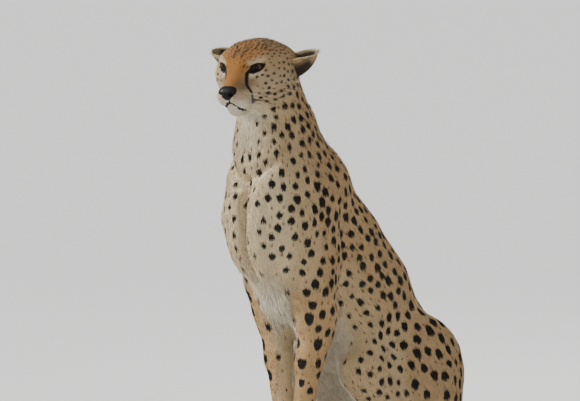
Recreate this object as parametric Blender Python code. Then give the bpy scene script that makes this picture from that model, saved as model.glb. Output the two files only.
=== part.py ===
"""A life-size sitting cheetah, as one closed form parted into its named pieces.

The animal faces -Y, its left side is +X and the floor it sits on is z = 0. Every
size is in metres. The body is described as soft masses of muscle and bone: tapered
limbs and ellipsoids, hung on the joints of the skeleton, that flow into each other.
A voxel remesh of those masses is drawn onto the flowing surface, thinned out, and
parted with thin cuts where a person would name the pieces.
"""

import math

import bmesh
import bpy
import numpy as np
from mathutils import Euler, Matrix, Vector

# ---------------------------------------------------------------- driving sizes
GAP = 0.0005            # clear air left by each cut
VOXEL = 0.0045          # grid of the remesh that joins the masses
BODY_FACES = 1836       # triangles kept on the body before the cuts
HEAD_FACES = 1520       # triangles kept on the head
SOLE_SNAP = 0.0012      # vertices this near the floor are laid on it
FLAT_ANGLE = math.radians(3)
HEAD_REACH = 0.160      # distance from the head's centre within which the mesh is finer
MIRROR_SOFT = 0.008     # rounds the crease where the two sides of the trunk meet
FACE_SOFT = 0.004       # the same for the two sides of the face

# Skeleton of the trunk, in the animal's middle plane: (y, z)
WITHERS = (-0.020, 0.690)
MIDBACK = (0.066, 0.560)
LOIN = (0.122, 0.440)
PELVIS = (0.225, 0.235)
SEAT = (0.046, 0.262, 0.062)     # the left seat bone, on which the rump rests on the floor
SEAT_RADII = (0.056, 0.062, 0.066)

# Joints of the left limbs; the right ones mirror them, but for the step of the forepaws
SHOULDER = (0.070, -0.150, 0.610)
SCAPULA = (0.038, -0.040, 0.708)
ELBOW = (0.070, -0.080, 0.405)
FOREARM = (0.054, -0.080, 0.300)
WRIST = (0.033, -0.080, 0.132)
KNUCKLE = (0.038, -0.098, 0.045)
FOREPAW = (0.042, -0.118, 0.022)
STEP = 0.009            # the left forepaw is this much ahead, the right one behind

HIP = (0.094, 0.212, 0.248)
KNEE = (0.114, 0.022, 0.276)
CALF = (0.116, 0.125, 0.130)
HOCK = (0.116, 0.212, 0.052)
HIND_KNUCKLE = (0.126, 0.000, 0.034)
HINDPAW = (0.129, -0.040, 0.022)

# Neck and head
NECK = ((0.0, -0.078, 0.690), (0.0, -0.128, 0.785), (0.004, -0.150, 0.865))
HEAD = Vector((0.004, -0.188, 0.962))
HEAD_TURN = math.radians(18)     # to the animal's left
HEAD_DIP = math.radians(11)      # nose down
HEAD_TILT = math.radians(0)

# Eyes, in the head's own frame
EYE = (0.0352, -0.0660, 0.000)
EYE_RADIUS = 0.0180
LID = 0.0016                     # skin over the eyeball
EYE_OUT = 27                     # degrees that each eye looks to its side
LID_OPENING = (0.0215, 0.0190, 0.0100)

# Ears, in the head's own frame: cups held out sideways that open upward
EAR_ROOT = (0.0600, 0.020, -0.003)
EAR_TIP = (0.1330, 0.029, 0.009)
EAR_WIDTH = 0.0205               # half the opening
EAR_DEPTH = 0.050
EAR_SKIN = 0.0034
EAR_ACROSS = Vector((0.0, 0.960, 0.275))
EAR_DOWN = Vector((0.10, 0.22, -0.97))

# Tail: (x, y, z, radius) from the rump and round the left haunch along the floor
TAIL = (
    (0.008, 0.318, 0.088, 0.034),
    (0.020, 0.350, 0.045, 0.029),
    (0.052, 0.380, 0.0240, 0.0260),
    (0.108, 0.390, 0.0225, 0.0245),
    (0.165, 0.352, 0.0215, 0.0235),
    (0.200, 0.287, 0.0210, 0.0230),
    (0.217, 0.205, 0.0205, 0.0225),
    (0.222, 0.120, 0.0205, 0.0225),
    (0.217, 0.035, 0.0210, 0.0230),
    (0.205, -0.045, 0.0220, 0.0240),
    (0.188, -0.118, 0.0200, 0.0220),
)
TAIL_CUTS = (1, 4, 7, 10)        # where the lengths of the tail begin and end
TAIL_SIDES = 12

CLAW = 0.0036                    # radius of a claw at its root

# Cuts: shape, centre, size or radii, and turn in degrees; the legs' are given for the left side
HEAD_CUT = ("box", (0, -0.036, 0.0527), (0.40, 0.40, 0.290), (27, 0, 0))
NOSE_CUT = ("ball", (0, -0.1480, -0.0455), (0.0190, 0.0135, 0.0140), (0, 0, 0))
JAW_CUT = ("box", (0, -0.104, -0.1215), (0.13, 0.124, 0.100), (2, 0, 0))
LEG_CUTS = (
    ("forepaw", ("box", (0.0400, -0.110, 0.045), (0.074, 0.160, 0.140), (0, 0, 0))),
    ("forearm", ("box", (0.0600, -0.110, 0.230), (0.114, 0.142, 0.290), (-4, 0, 0))),
    ("hind_foot", ("box", (0.1240, 0.080, 0.000), (0.080, 0.346, 0.124), (0, 0, 0))),
    ("shank", ("box", (0.1250, 0.072, 0.077), (0.170, 0.300, 0.180), (-30, 0, 0))),
    ("thigh", ("ball", (0.1540, 0.135, 0.236), (0.112, 0.205, 0.158), (-14, 0, 0))),
    ("upper_arm", ("ball", (0.1150, -0.095, 0.520), (0.072, 0.088, 0.165), (14, 0, 0))),
)
NECK_CUT = ("box", (0, -0.10, 0.900), (0.5, 0.5, 0.290), (-9, 0, 0))
CHEST_CUT = ("box", (0, -0.096, 0.600), (0.5, 0.70, 0.420), (48, 0, 0))
LOIN_CUT = ("box", (0, 0.085, 0.436), (0.5, 0.60, 0.250), (43, 0, 0))
STUB_SIZE = (0.12, 0.12, 0.10)   # the block that takes the tail's root off the rump

# Colours of the coat and of the bare parts
COLOURS = {
    "coat": (0.60, 0.40, 0.20, 1.0),
    "leather": (0.020, 0.016, 0.015, 1.0),
    "eye": (0.30, 0.12, 0.02, 1.0),
}


# ---------------------------------------------------------------- soft masses
class Mass:
    """An ellipsoid, or a tapered limb between two balls, that others flow into."""

    def __init__(self, start, radii, end=None, end_radius=None, turn=(0, 0, 0), flow=0.03):
        self.start = np.array(start, float)
        self.radii = np.array(radii if np.ndim(radii) else (radii,) * 3, float)
        self.end = None if end is None else np.array(end, float)
        self.end_radius = end_radius
        self.turn = np.array(Euler([math.radians(a) for a in turn]).to_matrix(), float)
        self.flow = flow

    def distance(self, points):
        """Signed distance of each point from the surface of this mass."""
        if self.end is None:
            local = (points - self.start) @ self.turn
            scaled = np.linalg.norm(local / self.radii, axis=1)
            slope = np.linalg.norm(local / self.radii**2, axis=1)
            return scaled * (scaled - 1.0) / np.maximum(slope, 1e-9)
        axis = self.end - self.start
        length = np.linalg.norm(axis)
        lean = (self.radii[0] - self.end_radius) / length
        rise = math.sqrt(max(1.0 - lean * lean, 1e-9))
        along = (points - self.start) @ axis / length
        off = np.linalg.norm(points - self.start - np.outer(along, axis / length), axis=1)
        share = np.clip((along + off * lean / rise) / length, 0.0, 1.0)
        nearest = self.start + np.outer(share, axis)
        radius = self.radii[0] + share * (self.end_radius - self.radii[0])
        return np.linalg.norm(points - nearest, axis=1) - radius

    def add_to(self, bm, place):
        """Adds this mass to a mesh as a plain ball or hull, for the remesh to join."""
        balls = [(self.start, self.radii)]
        if self.end is not None:
            balls.append((self.end, np.array((self.end_radius,) * 3)))
        piece = bmesh.new()
        turn = Matrix(self.turn.tolist()).to_4x4()
        for centre, radii in balls:
            shape = Matrix.Translation(centre) @ turn @ Matrix.Diagonal((*radii, 1.0))
            bmesh.ops.create_icosphere(piece, subdivisions=3, radius=1.0, matrix=shape)
        if self.end is not None:
            bmesh.ops.delete(piece, geom=piece.faces[:], context="FACES_ONLY")
            bmesh.ops.delete(piece, geom=piece.edges[:], context="EDGES_FACES")
            bmesh.ops.convex_hull(piece, input=piece.verts[:])
            bmesh.ops.delete(piece, geom=[v for v in piece.verts if not v.link_faces], context="VERTS")
        bmesh.ops.transform(piece, matrix=place, verts=piece.verts)
        if place.determinant() < 0:
            bmesh.ops.reverse_faces(piece, faces=piece.faces)
        spare = bpy.data.meshes.new("spare")
        piece.to_mesh(spare)
        piece.free()
        bm.from_mesh(spare)
        bpy.data.meshes.remove(spare)


def ball(centre, radii, turn=(0, 0, 0), flow=0.03):
    """An ellipsoid mass."""
    return Mass(centre, radii, turn=turn, flow=flow)


def limb(start, radius, end, end_radius, flow=0.03):
    """A tapered mass between two joints."""
    return Mass(start, radius, end, end_radius, flow=flow)


def joined(total, distance, width):
    """The smooth union of two distances, blended over a width."""
    near = np.maximum(width - np.abs(total - distance), 0.0) / width
    return np.minimum(total, distance) - near * near * width / 4.0


def flowing(masses, points):
    """Distance from masses that flow into each other, in order."""
    total = masses[0].distance(points)
    for mass in masses[1:]:
        total = joined(total, mass.distance(points), mass.flow)
    return total


def middle(point, x=0.0):
    """A point of the middle plane, or one beside it."""
    return (x, *point)


# ---------------------------------------------------------------- the trunk
def trunk_masses():
    """Chest, shoulders, loin and rump; each mass off the middle is one of a pair."""
    return [
        ball((0, -0.050, 0.550), (0.100, 0.132, 0.192), turn=(24, 0, 0)),
        ball((0, -0.110, 0.625), (0.082, 0.108, 0.115), flow=0.05),
        ball((0.038, -0.164, 0.676), (0.058, 0.062, 0.092), turn=(-8, 0, 0), flow=0.05),
        ball((0.030, -0.172, 0.580), (0.052, 0.050, 0.090), turn=(-10, 0, 0), flow=0.04),
        limb((0, -0.140, 0.560), 0.066, (0, -0.098, 0.452), 0.042, flow=0.06),
        limb(middle(WITHERS), 0.054, middle(MIDBACK), 0.072, flow=0.08),
        limb((0, 0.052, 0.520), 0.088, middle(LOIN), 0.096, flow=0.08),
        limb(middle(LOIN), 0.096, (0, 0.200, 0.300), 0.108, flow=0.07),
        ball(middle(PELVIS), (0.108, 0.110, 0.180), turn=(14, 0, 0), flow=0.06),
        ball((0, 0.070, 0.360), (0.082, 0.100, 0.095), flow=0.06),
        limb((0.078, 0.075, 0.370), 0.034, (0.100, 0.045, 0.310), 0.034, flow=0.06),
        ball((0, 0.300, 0.120), (0.060, 0.045, 0.085), flow=0.05),
        ball(SEAT, SEAT_RADII, flow=0.05),
    ]


def foreleg_masses(step=STEP):
    """Shoulder blade, upper arm, forearm and paw of the left side, its paw a step ahead."""
    forearm, wrist, knuckle, paw = (
        (x, y - step * share, z)
        for (x, y, z), share in ((FOREARM, 0.4), (WRIST, 1.0), (KNUCKLE, 1.0), (FOREPAW, 1.0))
    )
    heel = (wrist[0], wrist[1] - 0.002, wrist[2] - 0.008)
    return [
        limb(SCAPULA, 0.040, SHOULDER, 0.050, flow=0.05),
        limb((0.056, -0.055, 0.640), 0.043, (0.076, -0.090, 0.470), 0.046, flow=0.04),
        limb(SHOULDER, 0.048, ELBOW, 0.040, flow=0.03),
        limb(ELBOW, 0.039, forearm, 0.0300, flow=0.03),
        ball((0.068, -0.064, 0.380), (0.030, 0.036, 0.070), flow=0.02),
        limb(forearm, 0.0300, wrist, 0.0225, flow=0.02),
        ball(heel, (0.0255, 0.0260, 0.030), flow=0.02),
        limb(wrist, 0.0230, knuckle, 0.0250, flow=0.02),
        ball(paw, (0.0300, 0.0440, 0.0280), flow=0.02),
    ] + toe_masses(paw)


def hindleg_masses():
    """Haunch, thigh, shank and foot of the left side."""
    return [
        ball(HIP, (0.067, 0.130, 0.138), flow=0.05),
        limb((0.094, 0.175, 0.225), 0.095, KNEE, 0.043, flow=0.06),
        limb(KNEE, 0.042, CALF, 0.052, flow=0.05),
        limb(CALF, 0.054, HOCK, 0.034, flow=0.04),
        ball((0.106, 0.216, 0.145), (0.056, 0.098, 0.100), flow=0.04),
        ball((0.116, 0.228, 0.040), (0.026, 0.030, 0.040), flow=0.02),
        limb((0.117, 0.205, 0.032), 0.0300, HIND_KNUCKLE, 0.0280, flow=0.02),
        ball(HINDPAW, (0.0310, 0.0460, 0.0290), flow=0.02),
    ] + toe_masses(HINDPAW)


def toe_masses(paw):
    """Four toes fanned round the front of a paw."""
    toes = []
    for place in (-1.5, -0.5, 0.5, 1.5):
        spread = place * 0.0150
        reach = 0.050 - 0.0055 * place * place
        root = (paw[0] + spread * 0.75, paw[1] - reach * 0.45, 0.026)
        tip = (paw[0] + spread, paw[1] - reach, 0.0150)
        toes.append(limb(root, 0.0125, tip, 0.0120, flow=0.006))
    return toes


# ---------------------------------------------------------------- neck, head and tail
def neck_masses():
    """The neck, which leans forward and turns with the head."""
    low, mid, high = NECK
    return [
        limb(low, 0.106, mid, 0.082, flow=0.06),
        limb(mid, 0.082, high, 0.073, flow=0.05),
    ]


def head_place():
    """From the head's own frame to the animal's."""
    turn = Euler((HEAD_DIP, HEAD_TILT, HEAD_TURN), "XYZ").to_matrix().to_4x4()
    return Matrix.Translation(HEAD) @ turn


def head_masses():
    """The head in its own frame, nose to -y; masses off the middle are in pairs."""
    return [
        ball((0, 0.006, -0.016), (0.060, 0.068, 0.058)),
        ball((0, -0.046, -0.008), (0.052, 0.052, 0.045), flow=0.03),
        ball((0.034, -0.018, -0.015), (0.034, 0.056, 0.042), flow=0.03),
        ball((0, 0.042, -0.031), (0.052, 0.040, 0.045), flow=0.03),
        limb((0, -0.077, -0.005), 0.0285, (0, -0.126, -0.036), 0.0190, flow=0.022),
        ball((0, -0.102, -0.055), (0.0370, 0.0400, 0.0290), flow=0.022),
        ball((0.0185, -0.1210, -0.0570), (0.0200, 0.0230, 0.0190), flow=0.012),
        ball((0, -0.1360, -0.0420), (0.0165, 0.0130, 0.0120), flow=0.008),
        ball((0, -0.1110, -0.0835), (0.0210, 0.0215, 0.0160), flow=0.014),
        limb((0, -0.092, -0.080), 0.0190, (0.038, -0.020, -0.066), 0.0280, flow=0.025),
        ball((0.040, -0.046, -0.034), (0.0290, 0.0430, 0.0350), flow=0.030),
        limb((0.043, -0.064, -0.018), 0.0170, (0.055, -0.012, -0.014), 0.0190, flow=0.025),
        ball((0.044, -0.012, -0.046), (0.0300, 0.0440, 0.0360), flow=0.03),
        limb((0.012, -0.084, 0.006), 0.0150, (0.046, -0.060, 0.010), 0.0140, flow=0.016),
        ball((0, 0.000, -0.062), (0.055, 0.065, 0.045), flow=0.03),
        ball((0.050, 0.026, -0.015), (0.028, 0.028, 0.030), flow=0.03),
        ball(EYE, EYE_RADIUS + LID, flow=0.010),
    ]


def tail_point(span, share):
    """Place and radius on the curve through the tail's points."""
    last = len(TAIL) - 1
    before, start, end, after = (
        np.array(TAIL[min(max(span + k, 0), last)]) for k in (-1, 0, 1, 2)
    )
    square, cube = share * share, share**3
    return 0.5 * (
        2 * start
        + (end - before) * share
        + (2 * before - 5 * start + 4 * end - after) * square
        + (3 * start - before - 3 * end + after) * cube
    )


def tail_root():
    """The start of the tail, which flows out of the rump."""
    start, end = TAIL[0], TAIL[2]
    middle_point = TAIL[1]
    return [
        limb(start[:3], start[3], middle_point[:3], middle_point[3], flow=0.04),
        limb(middle_point[:3], middle_point[3], end[:3], end[3], flow=0.02),
    ]


# ---------------------------------------------------------------- the whole surface
def body_distance(points):
    """Signed distance from the whole animal's surface, soft where masses meet."""
    side = points.copy()
    side[:, 0] = np.hypot(side[:, 0], MIRROR_SOFT)
    left = points[:, 0] > 0
    fore = np.where(
        left,
        flowing(foreleg_masses(STEP), side),
        flowing(foreleg_masses(-STEP), side),
    )
    to_head = np.array(head_place().inverted(), float)
    local = points @ to_head[:3, :3].T + to_head[:3, 3]
    local[:, 0] = np.hypot(local[:, 0], FACE_SOFT)
    body = flowing(trunk_masses(), side)
    body = joined(body, flowing(neck_masses(), points), 0.06)
    body = joined(body, flowing(head_masses(), local), 0.035)
    body = joined(body, fore, 0.035)
    body = joined(body, flowing(tail_root(), points), 0.03)
    return joined(body, flowing(hindleg_masses(), side), 0.030)


def draw_to_surface(mesh, rounds=4, step=0.0004):
    """Moves every vertex along the slope of the distance until it lies on the surface."""
    count = len(mesh.vertices)
    points = np.empty(count * 3)
    mesh.vertices.foreach_get("co", points)
    points = points.reshape(-1, 3)
    for _ in range(rounds):
        here = body_distance(points)
        slope = np.empty_like(points)
        for axis in range(3):
            nudge = np.zeros(3)
            nudge[axis] = step
            slope[:, axis] = (body_distance(points + nudge) - here) / step
        size = np.maximum((slope**2).sum(axis=1), 0.05)
        move = -slope * (here / size)[:, None]
        length = np.linalg.norm(move, axis=1)
        points += move * np.minimum(1.0, 0.01 / np.maximum(length, 1e-9))[:, None]
    points[:, 2] = np.maximum(points[:, 2], 0.0)
    mesh.vertices.foreach_set("co", points.ravel())
    mesh.update()


def new_object(name, bm):
    """A mesh object of that name in the scene."""
    mesh = bpy.data.meshes.new(name)
    bm.to_mesh(mesh)
    bm.free()
    made = bpy.data.objects.new(name, mesh)
    bpy.context.scene.collection.objects.link(made)
    return made


def apply_modifiers(obj):
    """Replaces an object's mesh with the one its modifiers give."""
    graph = bpy.context.evaluated_depsgraph_get()
    mesh = bpy.data.meshes.new_from_object(obj.evaluated_get(graph))
    obj.modifiers.clear()
    obj.data = mesh


def refine_head(mesh):
    """Halves the mesh's edges on the head, whose face has the finest forms."""
    to_head = head_place().inverted()
    bm = bmesh.new()
    bm.from_mesh(mesh)
    near = [e for e in bm.edges if all((to_head @ v.co).length < HEAD_REACH for v in e.verts)]
    bmesh.ops.subdivide_edges(bm, edges=near, cuts=1, use_grid_fill=True)
    bmesh.ops.triangulate(bm, faces=bm.faces)
    bm.to_mesh(mesh)
    bm.free()


def thin_out(animal):
    """Thins body and head each to its own count, and lays the soles flat."""
    to_head = head_place().inverted()
    vertices = animal.data.vertices
    reach = [(to_head @ vertex.co).length for vertex in vertices]
    regions = (
        ("body", [i for i, r in enumerate(reach) if r > HEAD_REACH], BODY_FACES),
        ("head", [i for i, r in enumerate(reach) if r <= HEAD_REACH], HEAD_FACES),
    )
    for name, members, _ in regions:
        animal.vertex_groups.new(name=name).add(members, 1.0, "ADD")
    for name, _, wanted in regions:
        index = animal.vertex_groups[name].index
        inside = sum(
            all(any(g.group == index for g in animal.data.vertices[i].groups) for i in face.vertices)
            for face in animal.data.polygons
        )
        total = len(animal.data.polygons)
        thin = animal.modifiers.new("thin", "DECIMATE")
        thin.ratio = (total - inside + wanted) / total
        thin.vertex_group = name
        apply_modifiers(animal)
    for vertex in animal.data.vertices:
        if vertex.co.z < SOLE_SNAP:
            vertex.co.z = 0.0
    animal.vertex_groups.clear()


def whole_animal():
    """The animal in one closed mesh, before it is parted."""
    bm = bmesh.new()
    here = Matrix.Identity(4)
    mirror = Matrix.Diagonal((-1, 1, 1, 1))
    for mass in trunk_masses() + hindleg_masses():
        mass.add_to(bm, here)
        mass.add_to(bm, mirror)
    for mass in foreleg_masses(STEP) + neck_masses() + tail_root():
        mass.add_to(bm, here)
    for mass in foreleg_masses(-STEP):
        mass.add_to(bm, mirror)
    for mass in head_masses():
        mass.add_to(bm, head_place())
        mass.add_to(bm, head_place() @ mirror)
    animal = new_object("animal", bm)
    remesh = animal.modifiers.new("join", "REMESH")
    remesh.mode = "VOXEL"
    remesh.voxel_size = VOXEL
    apply_modifiers(animal)
    draw_to_surface(animal.data)
    refine_head(animal.data)
    smooth = animal.modifiers.new("even", "SMOOTH")
    smooth.factor = 0.5
    smooth.iterations = 3
    apply_modifiers(animal)
    draw_to_surface(animal.data, rounds=3)
    return animal


# ---------------------------------------------------------------- the parts that are set in
def ring_faces(bm, rings):
    """Closes a stack of vertex rings into a solid, with flat ends."""
    for low, high in zip(rings, rings[1:]):
        for i in range(len(low)):
            j = (i + 1) % len(low)
            bm.faces.new((low[i], low[j], high[j], high[i]))
    bm.faces.new(list(reversed(rings[0])))
    bm.faces.new(rings[-1])
    bmesh.ops.recalc_face_normals(bm, faces=bm.faces)
    bmesh.ops.triangulate(bm, faces=bm.faces)


def tail_length(name, first, last, steps=2):
    """One length of the tail between two of its points, laid flat where it meets the floor."""
    stations = [(span, k / steps) for span in range(first, last) for k in range(steps)]
    stations.append((last - 1, 1.0))
    places = [tail_point(*station) for station in stations]
    closing = last == len(TAIL) - 1
    bm = bmesh.new()
    rings = []
    for i, place in enumerate(places):
        span, share = stations[i]
        ahead = tail_point(span, share + 0.01) - tail_point(span, share - 0.01)
        along = Vector(ahead[:3]).normalized()
        centre = Vector(place[:3])
        if i == 0:
            centre += along * GAP
        side = along.cross(Vector((0, 0, 1))).normalized()
        up = side.cross(along)
        radius = place[3]
        if closing and i > len(places) - 4:
            radius *= (0.94, 0.78, 0.45)[i - len(places) + 3]
        ring = []
        for k in range(TAIL_SIDES):
            angle = 2 * math.pi * (k + 0.5) / TAIL_SIDES
            co = centre + (side * math.cos(angle) + up * math.sin(angle)) * radius
            co.z = max(co.z, 0.0)
            ring.append(bm.verts.new(co))
        rings.append(ring)
    ring_faces(bm, rings)
    return new_object(name, bm)


def ear_point(along, across, inset):
    """A point of the ear's cup: its outer skin, or its inner one when inset."""
    rim = Vector(EAR_ROOT).lerp(Vector(EAR_TIP), along)
    rim.z += 0.004 * math.sin(math.pi * along)
    narrow = max(0.0, (along - 0.35) / 0.65)
    width = EAR_WIDTH * math.sqrt(1.0 - narrow * narrow) - inset
    depth = EAR_DEPTH * (1.0 - along**2.3) ** 0.8 - inset
    angle = across * math.pi / 2
    return rim + EAR_ACROSS * (math.sin(angle) * width) + EAR_DOWN * (math.cos(angle) * depth)


def ear(name, side, rows=7, columns=8):
    """A cupped ear, still reaching into the head."""
    place = head_place() @ Matrix.Diagonal((side, 1, 1, 1))
    bm = bmesh.new()
    layers = []
    for inset in (0.0, EAR_SKIN):
        layer = []
        for i in range(rows):
            along = 0.97 * (1 - (1 - i / (rows - 1)) ** 1.4)
            thin = inset * (1.0 - 0.45 * along)
            layer.append([
                bm.verts.new(place @ ear_point(along, -1 + 2 * k / (columns - 1), thin))
                for k in range(columns)
            ])
        layers.append(layer)
    outer, inner = layers
    for layer in layers:
        for i in range(rows - 1):
            for k in range(columns - 1):
                bm.faces.new((layer[i][k], layer[i][k + 1], layer[i + 1][k + 1], layer[i + 1][k]))
    for i in range(rows - 1):
        for k in (0, columns - 1):
            bm.faces.new((outer[i][k], outer[i + 1][k], inner[i + 1][k], inner[i][k]))
    for k in range(columns - 1):
        for i in (0, rows - 1):
            bm.faces.new((outer[i][k], outer[i][k + 1], inner[i][k + 1], inner[i][k]))
    bmesh.ops.recalc_face_normals(bm, faces=bm.faces)
    bmesh.ops.triangulate(bm, faces=bm.faces)
    return new_object(name, bm)


def eye(name, side):
    """An eyeball in its socket."""
    bm = bmesh.new()
    turn = Euler((0, 0, math.radians(EYE_OUT * side))).to_matrix().to_4x4()
    tip_forward = Euler((math.pi / 2, 0, 0)).to_matrix().to_4x4()
    place = head_place() @ Matrix.Translation((EYE[0] * side, EYE[1], EYE[2])) @ turn @ tip_forward
    bmesh.ops.create_uvsphere(bm, u_segments=14, v_segments=9, radius=EYE_RADIUS, matrix=place)
    bmesh.ops.triangulate(bm, faces=bm.faces)
    return new_object(name, bm)


def claws(name, paw, side):
    """The four short claws of a paw, rooted in its toes."""
    bm = bmesh.new()
    for place in (-1.5, -0.5, 0.5, 1.5):
        spread = place * 0.0150
        reach = 0.050 - 0.0055 * place * place
        tip = Vector(((paw[0] + spread) * side, paw[1] - reach - 0.0145, 0.0055))
        root = Vector(((paw[0] + spread) * side, paw[1] - reach + 0.0040, 0.0165))
        axis = tip - root
        turn = axis.to_track_quat("Z", "Y").to_matrix().to_4x4()
        centre = Matrix.Translation((root + tip) / 2)
        bmesh.ops.create_cone(
            bm, cap_ends=True, cap_tris=True, segments=5, radius1=CLAW, radius2=CLAW * 0.3,
            depth=axis.length, matrix=centre @ turn,
        )
    bmesh.ops.triangulate(bm, faces=bm.faces)
    return new_object(name, bm)


# ---------------------------------------------------------------- cuts
def box_cutter(centre, size, turn=(0, 0, 0), frame=None):
    """A maker of a box-shaped cutter, grown on every side when asked."""
    def make(grow=0.0):
        bm = bmesh.new()
        bmesh.ops.create_cube(bm, size=1.0)
        tilt = Euler([math.radians(a) for a in turn]).to_matrix().to_4x4()
        shape = Matrix.Translation(centre) @ tilt @ Matrix.Diagonal((*(s + 2 * grow for s in size), 1))
        bmesh.ops.transform(bm, matrix=(frame or Matrix.Identity(4)) @ shape, verts=bm.verts)
        bmesh.ops.recalc_face_normals(bm, faces=bm.faces)
        return new_object("cutter", bm)
    return make


def ball_cutter(centre, radii, turn=(0, 0, 0), frame=None):
    """A maker of an ellipsoid cutter, grown on every side when asked."""
    def make(grow=0.0):
        bm = bmesh.new()
        bmesh.ops.create_icosphere(bm, subdivisions=2, radius=1.0)
        tilt = Euler([math.radians(a) for a in turn]).to_matrix().to_4x4()
        shape = Matrix.Translation(centre) @ tilt @ Matrix.Diagonal((*(r + grow for r in radii), 1))
        bmesh.ops.transform(bm, matrix=(frame or Matrix.Identity(4)) @ shape, verts=bm.verts)
        bmesh.ops.recalc_face_normals(bm, faces=bm.faces)
        return new_object("cutter", bm)
    return make


def cutter(cut, side=1, frame=None):
    """The maker for one of the cuts, on the side asked for."""
    shape, centre, size, turn = cut
    make = box_cutter if shape == "box" else ball_cutter
    return make(mirrored(centre, side), size, turn, frame)


def mirrored(centre, side):
    """A place given for the left side, on the side asked for."""
    return (centre[0] * side, centre[1], centre[2])


def trim(target, tool, operation):
    """Applies one Boolean to a piece and drops the tool it was cut with."""
    boolean = target.modifiers.new("cut", "BOOLEAN")
    boolean.operation = operation
    boolean.solver = "EXACT"
    boolean.object = tool
    apply_modifiers(target)
    drop(tool)
    bm = bmesh.new()
    bm.from_mesh(target.data)
    bmesh.ops.remove_doubles(bm, verts=bm.verts, dist=0.00003)
    bmesh.ops.dissolve_degenerate(bm, edges=bm.edges, dist=0.00002)
    bmesh.ops.triangulate(bm, faces=[f for f in bm.faces if len(f.verts) > 3])
    bm.to_mesh(target.data)
    bm.free()


def copy_of(source, name):
    """A second object with its own mesh."""
    made = bpy.data.objects.new(name, source.data.copy())
    bpy.context.scene.collection.objects.link(made)
    return made


def drop(obj):
    """Removes an object and its mesh."""
    mesh = obj.data
    bpy.data.objects.remove(obj)
    bpy.data.meshes.remove(mesh)


def part_off(body, name, make_cutter):
    """Takes a named piece off the body, leaving the gap between them."""
    piece = copy_of(body, name)
    trim(piece, make_cutter(), "INTERSECT")
    trim(body, make_cutter(GAP), "DIFFERENCE")
    keep_largest(piece)
    return piece


def keep_largest(piece):
    """Drops the slivers that a cut leaves beside a piece."""
    bm = bmesh.new()
    bm.from_mesh(piece.data)
    unseen = set(bm.verts)
    islands = []
    while unseen:
        queue = [unseen.pop()]
        island = set(queue)
        while queue:
            for edge in queue.pop().link_edges:
                for vertex in edge.verts:
                    if vertex in unseen:
                        unseen.discard(vertex)
                        island.add(vertex)
                        queue.append(vertex)
        islands.append(island)
    islands.sort(key=len, reverse=True)
    for island in islands[1:]:
        bmesh.ops.delete(bm, geom=list(island), context="VERTS")
    bm.to_mesh(piece.data)
    bm.free()


def merge_flats(piece):
    """Joins the nearly level triangles that the cuts leave, and lays the mesh in triangles again."""
    bm = bmesh.new()
    bm.from_mesh(piece.data)
    bmesh.ops.dissolve_limit(bm, angle_limit=FLAT_ANGLE, verts=bm.verts, edges=bm.edges)
    bmesh.ops.triangulate(bm, faces=bm.faces)
    bm.to_mesh(piece.data)
    bm.free()


def grown_copy(source):
    """A copy whose surface stands out by the gap."""
    made = copy_of(source, "cutter")
    normals = [vertex.normal.copy() for vertex in made.data.vertices]
    for vertex, normal in zip(made.data.vertices, normals):
        vertex.co += normal * GAP
    return made


def part_head(body):
    """Head, jaw, nose leather, ears and eyes."""
    frame = head_place()
    head = part_off(body, "head", cutter(HEAD_CUT, frame=frame))
    nose = part_off(head, "nose", cutter(NOSE_CUT, frame=frame))
    jaw = part_off(head, "lower_jaw", cutter(JAW_CUT, frame=frame))
    pieces = [head, nose, jaw]
    for label, side in (("left", 1), ("right", -1)):
        look = math.radians(EYE_OUT)
        lid = (
            (EYE[0] + math.sin(look) * EYE_RADIUS) * side,
            EYE[1] - math.cos(look) * EYE_RADIUS,
            EYE[2],
        )
        eyeball = eye("eye_" + label, side)
        trim(head, grown_copy(eyeball), "DIFFERENCE")
        opening = ball_cutter(lid, LID_OPENING, (0, -4 * side, EYE_OUT * side), frame)
        trim(head, opening(), "DIFFERENCE")
        pieces.append(eyeball)
    keep_largest(head)
    for label, side in (("left", 1), ("right", -1)):
        cup = ear("ear_" + label, side)
        trim(cup, grown_copy(head), "DIFFERENCE")
        keep_largest(cup)
        pieces.append(cup)
    return pieces


def part_legs(body):
    """The lengths of the four legs."""
    pieces = []
    for label, side in (("left", 1), ("right", -1)):
        for name, cut in LEG_CUTS:
            pieces.append(part_off(body, f"{name}_{label}", cutter(cut, side)))
    return pieces


def add_claws(pieces):
    """Joins each paw's claws to it."""
    named = {piece.name: piece for piece in pieces}
    for label, side in (("left", 1), ("right", -1)):
        forepaw = (FOREPAW[0], FOREPAW[1] - STEP * side, FOREPAW[2])
        trim(named["forepaw_" + label], claws("claws", forepaw, side), "UNION")
        trim(named["hind_foot_" + label], claws("claws", HINDPAW, side), "UNION")


def part_trunk(body, tail_base):
    """Neck, chest, loin and rump; the rump is what is left of the body, cut clear of the tail."""
    pieces = [
        part_off(body, "neck", cutter(NECK_CUT)),
        part_off(body, "chest", cutter(CHEST_CUT)),
    ]
    at = Vector(TAIL[1][:3])
    along = Vector((tail_point(1, 0.01) - tail_point(1, -0.01))[:3]).normalized()
    turn = along.to_track_quat("Z", "Y").to_euler()
    stub = box_cutter(at + along * STUB_SIZE[2] / 2, STUB_SIZE, [math.degrees(a) for a in turn])
    trim(body, stub(), "DIFFERENCE")
    trim(body, grown_copy(tail_base), "DIFFERENCE")
    pieces.append(part_off(body, "loin", cutter(LOIN_CUT)))
    body.name = "rump"
    keep_largest(body)
    return pieces + [body]


# ---------------------------------------------------------------- finish
def coat(name):
    """A plain material in one of the colours."""
    made = bpy.data.materials.new(name)
    made.use_nodes = True
    shader = made.node_tree.nodes["Principled BSDF"]
    shader.inputs["Base Color"].default_value = COLOURS[name]
    shader.inputs["Roughness"].default_value = 0.25 if name == "eye" else 0.8
    return made


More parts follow.
